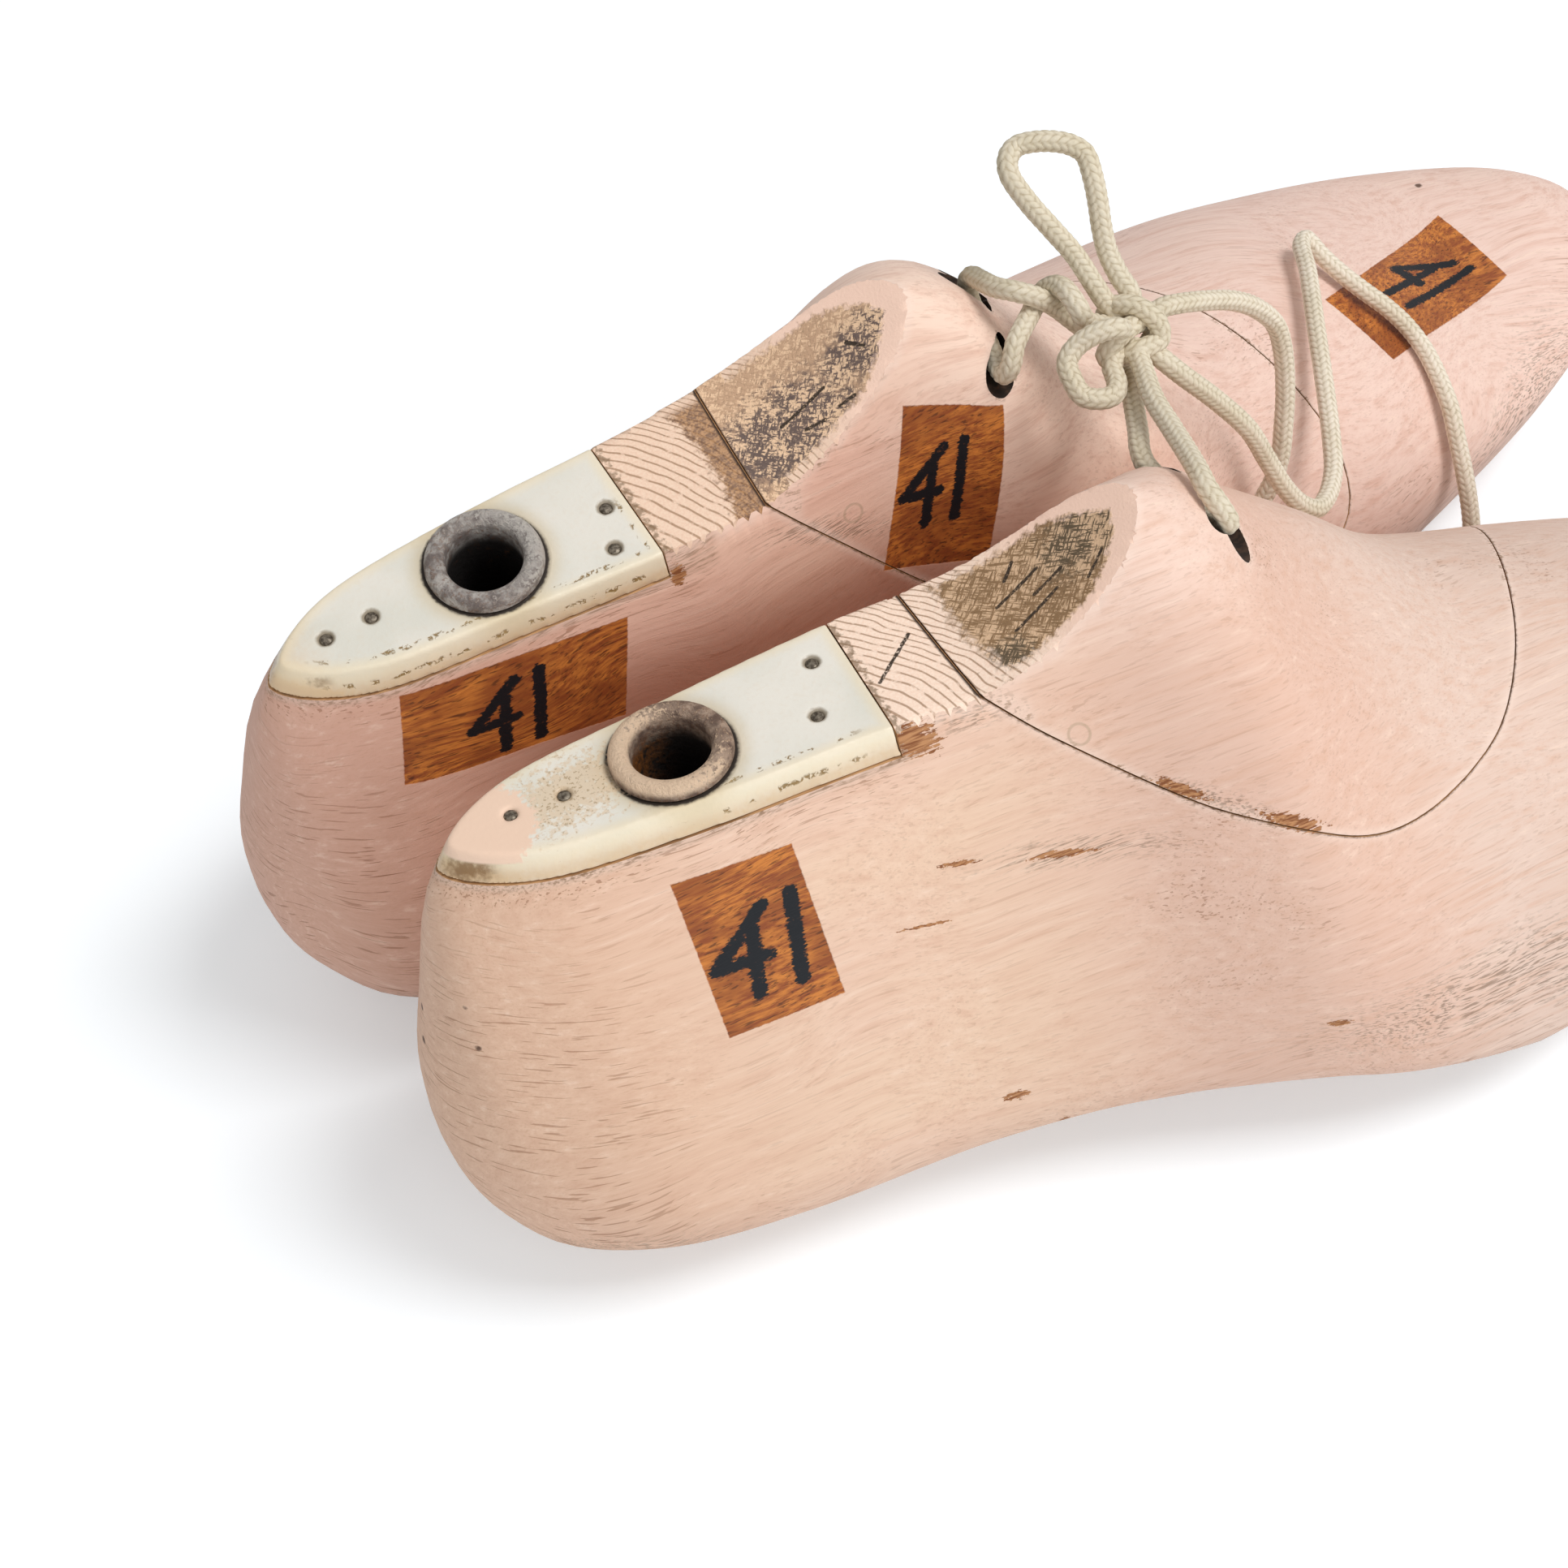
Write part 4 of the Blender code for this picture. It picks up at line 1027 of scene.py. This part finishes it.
# A tone's strength and colour, then where it sets in and is full, along the last and up it.
TONES = {
    "left": ((0.7, "dfb79c", (60, 20), None), (0.85, "e0bba9", (75, 120), None),
             (0.8, "e1c9bb", (138, 165), None), (0.8, "f0d3c4", None, (90, 102))),
    "right": ((0.75, "d2a490", (60, 20), None), (0.7, "f6dccb", (100, 125), (66, 80)),
              (0.8, "ecd0c4", (135, 185), None)),
}


def coats(paint, side):
    """The paint itself, paler where it lies thick and darker in the brush streaks."""
    warm, pink, deep = COATS[side]
    paint.colour = paint.mix(paint.noise((0.015, 0.03, 0.03), 2).fade(0.32, 0.68), warm, pink)
    for strength, colour, along, upward in TONES[side]:
        for axis, ends in ((paint.x, along), (paint.z, upward)):
            if ends:
                strength = axis.fade(*ends) * strength
        paint.cover(strength, colour)
    paint.cover(paint.streaks.fade(0.42, 0.78) * 0.55, deep)
    paint.cover(paint.streaks.fade(0.46, 0.22) * 0.45, "f6dcc9")
    paint.cover(paint.hair.fade(0.52, 0.74) * 0.20, "b98a68")


# %% Pores, dirt and painted shade in the valley
def pores(paint, side):
    """Brown lines where the paint sank in. They run along, and level round the turned heel. The far
    flank also gets painted shade in the valley between the lasts.
    """
    x, z = paint.x, paint.z
    low, high = z.fade(24, 4), z.fade(78, 86) * x.fade(82, 70)
    heel = x.fade(48, 16) * z.fade(80, 62)
    dirt = (paint.amount.fade(0.55, 0.75) * 0.45 + low * 0.55 + high * 0.45 + heel * 0.40).clamp()
    turning = x.fade(46, 28) * z.fade(85, 81) * z.fade(6, 12)
    along = paint.noise((0.10, 2.4, 2.4), 1, 0.4, paint.flow)
    around = paint.noise((0.17, 0.17, 2.5), 1, 0.4, paint.flow)
    lines = along + turning * (around - along)
    pore = paint.pores.fade(0.62, 0.67) * (0.10 + dirt * 0.70) * (1 - turning * 0.85)
    paint.pore = pore.most(lines.fade(0.635, 0.675) * (0.16 + dirt * 0.95).clamp())
    paint.cover(dirt * paint.streaks.fade(0.35, 0.65) * 0.20, "b5927a")
    paint.cover(paint.pore * 0.85, "8a5732")
    paint.cover(paint.specks.fade(0.78, 0.80) * dirt * 0.5, "80624a")
    # Painted shade with some grime: the far last's flank is darkened low in the valley between the
    # two lasts, where the near last shades it.
    if side == "right":
        valley_shade = z.fade(82, 66) * x.fade(25, 60) * x.fade(135, 105) * paint.shown
        paint.cover(valley_shade * 0.72, "a5684f")


# %% [markdown]
# ## Wear, chips and a painted highlight in the paint
# Paint wears off along the sawn edges and the saw cut first, where hands and tools rub, so two of
# these layers read the distance to them that each mesh carries. A paler band along the sawn edges
# is a painted highlight, where a rounded edge would catch the light. Rubbed spots, chips, pits and
# the faint ring of the cross pin lie at their own places.

# %% Places of the wear
WORN = {
    "left": ((87.5, 89.3, 7.5, 2.4, -3), (160, 24.5, 42, 9, -3), (98, 66, 18, 3, -5),
             (20, 12, 22, 9, 0), (118, 71, 10, 2, -28), (245, 22, 26, 6, 0)),
    "right": ((160, 22, 40, 8, -3), (20, 12, 22, 9, 0), (97, 82, 16, 3, -20),
              (245, 22, 26, 6, 0)),
}
CHIPS = {
    "left": ((79.6, 88.4, 3.4, 2.4, -20), (113.6, 72.9, 3.4, 0.9, -28),
             (127.5, 66, 4.6, 1.1, -28), (82.2, 25, 2.1, 0.9, 0), (96, 65.9, 4.5, 0.6, -6),
             (81, 68.9, 3, 0.4, -8), (74.5, 60.9, 4, 0.25, -8), (89.6, 14.6, 0.8, 1, 0),
             (130, 29, 2, 0.6, -5)),
    "right": ((72.5, 86.5, 1.2, 1.6, 0), (97, 60, 2.4, 0.5, -10), (40, 30, 2.2, 0.5, -8)),
}
PITS = {                    # place and radius
    "left": ((4.2, -1.1, 58.8, 0.7), (2.8, 0.3, 53.3, 0.8), (9.6, 8.6, 67.3, 0.6),
             (9.2, 11.1, 60.7, 0.7), (126, -3.2, 105.1, 0.6), (8, 6, 63, 0.5)),
    "right": ((256.1, 25.8, 27.5, 0.9), (214.5, -21.9, 39, 0.9), (124, -9, 100, 0.6),
              (131, -8.5, 98, 0.5)),
}
PIN_RING = (102, 82.8, 1.5, 1.5, 0)


# %% Rubbed edges, a painted edge highlight, pits and chips
def wear(paint, side):
    x, z, jitter, hair, shown = paint.x, paint.z, paint.jitter, paint.hair, paint.shown
    cut, edge = paint.note("from_cut"), paint.note("from_edge")
    worn = (blot(x, z, WORN[side]) + jitter * 0.8).fade(1.1, 0.25)
    paint.worn = worn * paint.pores.fade(0.49, 0.62) * shown
    paint.cover(paint.worn * 0.60, "7a6450")
    rubbed = edge.fade(1, 0.1) * (paint.specks + hair).fade(1.02, 1.18)
    # Painted highlight: a paler band along the sawn edges, where a rounded edge would catch the
    # light.
    paint.cover(edge.fade(1.6, 0) * 0.4, "f2dacb")
    paint.cover(rubbed * paint.amount.fade(0.46, 0.60) * 0.8, "8d6a4a")
    paint.cover(cut.fade(0.32, 0.04) * (jitter * 2 + 0.5).clamp(), "4a2f20")
    seam = (z - 86.4 + jitter * 0.6).fade(-1.3, 0) * x.fade(80, 78)
    paint.cover(seam * (0.15 + hair.fade(0.45, 0.65) * 0.5), "8a6b50")
    pit = None
    for *where, radius in PITS[side]:
        away = paint.node("VectorMath", {"operation": "DISTANCE"}, paint.place, where, out="Value")
        deep = (away + jitter * 0.5).fade(radius, radius * 0.5)
        pit = deep if pit is None else pit.most(deep)
    paint.cover(pit * 0.9, "54392a")
    ragged = blot(x, z, CHIPS[side]) + jitter * 1.5 + (hair - 0.5) * 2.4
    paint.chip = ragged.fade(1.02, 0.9) * shown
    paint.cover(paint.chip, paint.mix(paint.pores.fade(0.35, 0.65), "bd885c", "85502f"))
    ring = (blot(x, z, (PIN_RING,)) - 1).size().fade(0.22, 0.05) * shown
    paint.cover(ring * 0.5, "b39a80")


# %% [markdown]
# ## Windows with the size
# Patches were left bare, or scraped bare, and varnished, and the size was painted there with a
# brush. Each window gives its four corners, then the number's foot and its two directions, all
# on the flank's X and Z or the crown's X and Y.

# %% Windows
WINDOWS = {
    "left": {"flank": [(((40.9, 81.1), (58.7, 80.7), (60.4, 55), (42.5, 54.5)),
                        ((44.5, 60), (17, 0), (1.5, 14)))],
             "crown": []},
    "right": {"flank": [(((27.9, 85.4), (63.4, 83.2), (59.1, 66), (24, 70.3)),
                         ((36.5, 70), (15, -1.2), (2.6, 11.5))),
                        (((113.3, 96.4), (127.9, 92.8), (121.3, 67.5), (105, 70.5)),
                         ((109.8, 77), (12, 0), (3.7, 12.2)))],
              "crown": [(((253.6, 17.1), (256.2, -0.7), (217.1, -12.6), (210.5, 0.6)),
                         ((225.1, 2.9), (6.8, -8.9), (20.8, 6)))]},
}


def windows(paint, side):
    """Bare varnished wood inside each window, with the number brushed over it."""
    jitter, hair = paint.jitter, paint.hair
    grain = paint.noise((0.10, 1.3, 1.3), 5, 0.65, paint.flow)
    mottle = paint.noise((0.10, 0.16, 0.16))
    varnish = paint.mix(grain.fade(0.36, 0.66), "cf8039", "8d4826")
    varnish = paint.mix(mottle.fade(0.40, 0.64) * 0.7, varnish, "8a4824")
    varnish = paint.mix(paint.pores.fade(0.56, 0.66) * 0.7, varnish, "4a2818")
    window = ink = None
    crown = paint.z.fade(17, 19)
    for where, v, mask in (("flank", paint.z, paint.shown), ("crown", paint.y, crown)):
        for corners, frame_of_number in WINDOWS[side][where]:
            inside = (patch(paint.x, v, corners) + jitter * 0.35).fade(-0.12, 0.12) * mask
            away = number(paint.x, v, *frame_of_number) + jitter * 0.07 + (hair - 0.5) * 0.10
            line = away.fade(0.080, 0.060) * inside
            window = inside if window is None else window.most(inside)
            ink = line if ink is None else ink.most(line)
    paint.window = window
    paint.cover(window, varnish)
    paint.cover(ink * (paint.specks * 1.9 + hair - 0.10).clamp(), "101319")


# %% Paint both lasts
for side in LASTS:
    paint = Finish("painted_" + side)
    for layer in (patterns, coats, pores, wear, windows):
        layer(paint, side)
    height = (paint.streaks * 0.5 + paint.hair * 0.25 - paint.pore * 0.35 - paint.chip * 0.5
              - paint.window * 0.5 - paint.worn * 0.25)
    rough = (0.60 + paint.hair * 0.12 - paint.window * 0.16).clamp()
    paint.surface((height, 0.45, 0.00028), Roughness=rough, Specular_IOR_Level=0.3)

# %% [markdown]
# ## The sawn top
# The top is end grain. On the flat part thin paint shows the growth rings as fine broken lines.
# They are arcs about the heart of the tree, so they are drawn from the distance to that point.
# The cone was left as it was sawn: grey-brown with dirt, crossed by two sets of fine saw marks
# and a few deep scratches. The two lasts differ in tone and in how far the marks reach, so each
# has its own row of values.

# %% Values of the two tops
HEART = {"left": (47, 25), "right": (42, -24)}
# The rings counted out to a radius are the first times its square, plus the second times it.
RING_CLOSING = (0.0123, -0.408)
SCRATCHES = {
    "left": ((99, 4.9, 106.2, 3.6), (98.8, -0.6, 105.6, -1.6), (103.5, 1.8, 108, 1.3),
             (110, 6, 113, 4.2), (79, 2, 86.5, -4.5), (101.5, -3.6, 103.6, -5.4)),
    "right": ((97.1, -2.6, 104.7, -2), (99.6, -5.6, 102.4, -6.4), (105, -6.2, 107.4, -6.6),
              (110.5, 1, 112, -1.6)),
}
DIRT = {"left": ((113.5, -0.5, 8, 5.5, 0), (96, 8, 4, 3, 0)),
        "right": ((113, -1, 9, 4.5, 0), (97, -4, 12, 8, 0))}
CREAM = {"left": ("ffe6d2", "f9dac4"), "right": ("f2d5bd", "ecc9b0")}
ROUGH = {"left": ("dfbb97", "927250", "64543f"), "right": ("efcaa6", "c8a384", "6d5b54")}
MARK_STRETCH = {"left": (0.30, 3.2, 1), "right": (0.75, 2.3, 1)}
MARK_TURNS = (0.75, -0.85)
GRIME_ENDS = {"left": (79.6, 77.5), "right": (73.8, 71.8)}


# %% Growth rings
def rings(top, side):
    """Fine broken brown lines on cream, as far as the cone."""
    dx, dy = top.x - HEART[side][0], top.y - HEART[side][1]
    radius = (dx * dx + dy * dy) ** 0.5 + top.noise(0.09, 2) * 3
    count = radius * radius * RING_CLOSING[0] + radius * RING_CLOSING[1]
    top.line = (count.part() - 0.5).size().fade(0.15, 0.05) * top.x.fade(102, 96)
    top.colour = top.mix(top.fine.fade(0.3, 0.7), *CREAM[side])
    # Beyond the flat top the cone is pink paint, painted paler than the flank paint: partly the
    # paint's own colour, partly a painted highlight on a face that turns away from the lamps.
    top.cover(top.x.fade(98, 108), "ffdac5")
    top.cover(top.line * top.noise(0.55).fade(0.30, 0.48) * 0.72, "936c49")


# %% Saw marks on the cone
def saw_marks(top, side):
    """Two crossing sets of marks, from the cut up to a clean border."""
    x, y, jitter, fine = top.x, top.y, top.jitter, top.fine
    one, two = (top.noise(MARK_STRETCH[side], 2, 0.7, top.node(
        "VectorRotate", {"rotation_type": "Z_AXIS"}, top.place, Angle=turn)) for turn in MARK_TURNS)
    top.marks = one.most(two) + (top.noise(0.16) - 0.5) * 0.35
    border = 1.4 + x.fade(108, 119) * 3
    if side == "left":
        zone = (x - 93 - y.most(0) * 0.22 + jitter * 5).fade(-1.2, 1.2)
    else:
        zone = (x - 89.5 - y * 0.063).fade(-0.2, 0.2)
        stained = (x - 85.2 + y * y * 0.012 + jitter * 5).fade(-0.8, 0.8) * (1 - zone)
        brown = top.mix((fine + jitter).fade(0.30, 0.70), "b58659", "6d4b34")
        top.cover(stained * y.fade(10.5, 8.5) * 0.85, brown)
    reach = top.note("from_edge").most(top.cut.fade(5, 2.5) * 6) + jitter * 3.4
    top.zone = zone * reach.fade(border - 0.5, border + 0.7)
    dirty = (blot(x, y, DIRT[side]) + jitter * 1.4).fade(1.3, 0.6)
    clean, shade, dark = ROUGH[side]
    rough = top.mix(top.marks.fade(0.46, 0.58), clean, top.mix(dirty, shade, dark))
    top.cover(top.zone, top.mix(fine.fade(0.62, 0.74) * 0.5, rough, "54442f"))


# %% Finish both tops
for side in LASTS:
    top = Finish("sawn_" + side)
    top.cut = top.note("from_cut")
    top.jitter, top.fine = top.noise(0.9) - 0.5, top.noise(2.6, 2)
    rings(top, side)
    saw_marks(top, side)
    front = top.x.fade(*GRIME_ENDS[side])
    grime = front * 0.85 + top.cut.fade(0.6, 0.1) * 0.7 + top.jitter * 2.6 - 0.5
    top.cover(grime.fade(0, 0.5) * 0.75, "80664a")
    top.cover(top.cut.fade(0.45, 0.10), "3b281b")
    scratch = (strokes(top.x, top.y, SCRATCHES[side]) + top.jitter * 0.35).fade(0.34, 0.16)
    top.cover(scratch * top.fine.fade(0.25, 0.5), "3c2f22")
    height = top.marks * top.zone * 0.9 - top.line * 0.2 - scratch * 0.9 + top.fine * 0.25
    top.surface((height, 0.7, 0.0004), Roughness=0.82)

# %% [markdown]
# ## Inside the cuts
# The saw cut bares unpainted beech that has browned with age, and its fibres run along the last.
# The drilled holes are painted near black: some of that is stain from the steel and dust, the rest
# is painted shade inside the holes.

# %% Bare wood
raw = Finish("saw_cut")
fibre = raw.noise((0.08, 1.6, 1.6), 4, 0.6)
raw.colour = raw.mix(fibre.fade(0.35, 0.65), "c99c6d", "a5784c")
raw.cover(raw.noise(0.12).fade(0.4, 0.65) * 0.5, "6b4a31")
raw.surface((fibre, 0.4, 0.0003), Roughness=0.9)

hole = Finish("drilled_hole")
# Painted shade with some dust: the wood inside the drilled holes is near black.
hole.colour = hole.mix(hole.noise(1).fade(0.35, 0.7), "241912", "463225")
hole.surface(Roughness=0.9)

# %% [markdown]
# ## Ivory plastic
# The plate is a milky thermoplastic that has yellowed along its foot and its worn rim. Heat and
# hammering left a row of small cracks inside the rim, and dirt lies round the socket and tacks.
# On the left plate a flat smear of the pink paint covers the heel end.

# %% Plate
MILK = {"left": ("ece7dc", "e2dfd3"), "right": ("e4dfd4", "dad7cb")}
RIM_CRACKS = 1.5            # how far inside the rim the cracks lie, in mm
CRACKS_FROM = {"left": (40, 48), "right": (17, 22)}
BURNS = ((3.5, 88.6, 3.6, 2.2, 0), (-6, 89.6, 2.6, 1, 0))
BEIGE = (33, -0.5, 12, 6.5, -5)
SMEAR = (17.5, -0.5, 10.5, 9, 6)


def yellowed(milk, side):
    """Milky plastic, amber at its foot and along the worn rim, with a row of cracks."""
    x, y, z, jitter, fine, edge = milk.x, milk.y, milk.z, milk.jitter, milk.fine, milk.edge
    milk.colour = milk.mix(milk.noise(0.07, 2).fade(0.35, 0.65), *MILK[side])
    milk.amber = (z.fade(90.8, 87.6) * 0.85 + x.fade(24, 13) * 0.5 + jitter * 0.4).clamp()
    milk.cover(milk.amber * 0.85, "d6b385")
    milk.cover(edge.fade(2.4, 0.1) * 0.5, "efdbb4")
    toward = y if side == "left" else 0 - y
    cracks = ((edge - RIM_CRACKS).size() + jitter).fade(0.55, 0.2)
    cracks = cracks * milk.noise(0.6, 2).fade(0.50, 0.56)
    cracks = cracks * (toward + 1).fade(0, 3) * x.fade(74, 70) * fine.fade(0.40, 0.50)
    milk.cracks = cracks * x.fade(*CRACKS_FROM[side])
    milk.cover(milk.cracks * 0.9, "86672f")


def around(finish, x, y):
    """Distance from an upright line."""
    dx, dy = finish.x - x, finish.y - y
    return (dx * dx + dy * dy) ** 0.5


for side, spec in LASTS.items():
    milk = Finish("ivory_" + side)
    jitter, fine = milk.jitter, milk.fine = milk.noise(1.2) - 0.5, milk.noise(2.2, 2)
    milk.edge = milk.note("from_edge")
    yellowed(milk, side)
    ring = around(milk, SOCKET_X, 0)
    stain = (ring + jitter * 1.6).fade(12.5, 9.2)
    milk.cover(stain * 0.5, "cdb68a")
    milk.cover((ring + jitter * 0.5).fade(9.7, 9.2), "2e241c")
    for x, y in spec["nails"]:
        milk.cover((around(milk, x, y) + jitter * 0.5).fade(1.7, 1.15) * 0.75, "7d6a4c")
    milk.cover((fine + jitter * 0.4).fade(0.78, 0.84) * milk.amber * 0.8, "8e7448")
    brown = (blot(milk.y, milk.z, BURNS) + jitter * 1.2).fade(1.1, 0.2)
    milk.cover(brown * milk.x.fade(21, 18) * 0.85, "7f5a2e")
    smear = 0
    if side == "left":
        beige = (blot(milk.x, milk.y, (BEIGE,)) + jitter * 2.6).fade(1.1, 0.5)
        milk.cover(beige * 0.7, "ddc2a0")
        milk.cover(beige * fine.fade(0.55, 0.66) * 0.7, "a58c68")
        smear = (blot(milk.x, milk.y, (SMEAR,)) + jitter * 0.5).fade(1, 0.92)
        smear = smear * milk.z.fade(89.5, 89.9)
        milk.cover(smear, "f0d0b8")
    height = jitter * 0.35 - milk.cracks * 0.8 - ring.fade(9.9, 9.3) + smear * 0.25
    rough = (0.34 + stain * 0.25 + jitter * 0.12 + smear * 0.3).clamp()
    milk.surface((height, 0.5, 0.0003), Roughness=rough, Specular_IOR_Level=0.45)

# %% [markdown]
# ## Rusted steel, tacks and strap
# Each socket takes the jack's pin. Its rolled rim is dark with rust, and paint and plastic have
# stuck in its pits. The tacks are dull wire nails. Straps and pins sit deep in the saw cut.

# %% Sockets
RIMS = {"left": ("b9a08c", "6d574b"), "right": ("c2bbb4", "7b706b")}

for side in LASTS:
    steel = Finish("steel_" + side)
    broad, fine = steel.noise(0.45), steel.noise(1.7, 4, 0.7)
    steel.colour = steel.mix(broad.fade(0.35, 0.65), *RIMS[side])
    steel.cover(fine.fade(0.5, 0.62) * 0.6, "7c5a42")
    crown, ahead = steel.z.fade(TOP + 0.6, TOP + 1.8), steel.x - SOCKET_X
    if side == "left":
        caked = fine * 0.9 + broad * 0.4 + (0 - ahead * 0.030 + steel.y * 0.012)
        steel.cover(caked.fade(0.50, 0.66) * crown * 0.9, "f0d3b5")
        orange = (fine + broad).fade(0.75, 1.15) * ahead.fade(3, -4)
    else:
        pale = (fine * 0.7 + broad * 0.4 + ahead * 0.012).fade(0.56, 0.70)
        steel.cover(pale * crown * 0.85, "d0cac2")
        orange = (fine + broad).fade(1.1, 1.3) * 0.3
    # Painted shade with some rust: below the rim the bore is painted near black, with orange rust
    # towards its mouth.
    bore = steel.mix(orange * steel.z.fade(TOP - 16, TOP - 2), "17110e", "8a5218")
    steel.cover(steel.z.fade(TOP + 0.4, TOP - 3), bore)
    steel.surface((fine * 0.8 + broad * 0.5, 0.9, 0.0009), Metallic=0.25,
                  Roughness=(0.5 + fine * 0.4).clamp())

# %% Tacks, straps and pins
tack = Finish("nail_steel")
tack.colour = tack.mix(tack.noise(2).fade(0.35, 0.65), "8c8273", "4d4338")
tack.surface(Metallic=0.6, Roughness=0.5)

strap = Finish("strap_steel", on_last=False)
worn = strap.noise(900).fade(0.35, 0.7)
strap.colour = strap.mix(worn, "8b857d", "5b4a3e")
strap.surface(Metallic=0.85, Roughness=(0.35 + worn * 0.3).clamp())

# %% [markdown]
# ## Cotton
# The braid's hollows are painted darker than the crowns of the stitches, as painted shade in the
# hollows. The cord has bleached towards its long end, and is dull where it enters the far block.

# %% Cotton cord
cotton = Finish("cotton_cord", on_last=False)
x, y = cotton.x, cotton.y
fibres = cotton.noise(2600, 2)
dust = cotton.noise(120).fade(0.4, 0.65)
light = cotton.mix(x.fade(0.005, 0.045), "e2d8c4", "f0e6d6")
light = cotton.mix(dust * 0.35, light, "cfc3a4")
light = cotton.mix(y.fade(0.018, 0.030) * x.fade(-0.004, -0.014) * 0.5, light, "b3a68c")
# Painted shade: the hollows between the stitches take darker colours than the crowns.
shaded_groove = cotton.mix(dust, "baa98c", "a59376")
cotton.colour = cotton.mix(cotton.note("stitch").fade(0, 0.75) * 0.85 + 0.1, shaded_groove, light)
cotton.cover(fibres.fade(0.35, 0.7) * 0.16, "b7a986")
cotton.surface((fibres, 0.5, 0.00012), Roughness=0.95, Specular_IOR_Level=0.2)

# %% [markdown]
# ## White floor
# The floor is matt. The camera, and what glass and metal mirror, also see a little light of its
# own there, so that it reads as white. The object gets none of that light.

# %% Floor
FLOOR_GLOW = 0.28

ground = Finish("white_floor", on_last=False)
ground.colour = (0.82, 0.86, 0.89)
rays = ground.node("LightPath", {}).socket.node.outputs
camera_ray, glossy_ray, clear_ray = (Value(ground, rays[f"Is {kind} Ray"])
                                     for kind in ("Camera", "Glossy", "Transmission"))
ground.surface(Roughness=1, Specular_IOR_Level=0, Emission_Color=(1, 1, 1),
               Emission_Strength=camera_ray.most(glossy_ray).most(clear_ray) * FLOOR_GLOW)
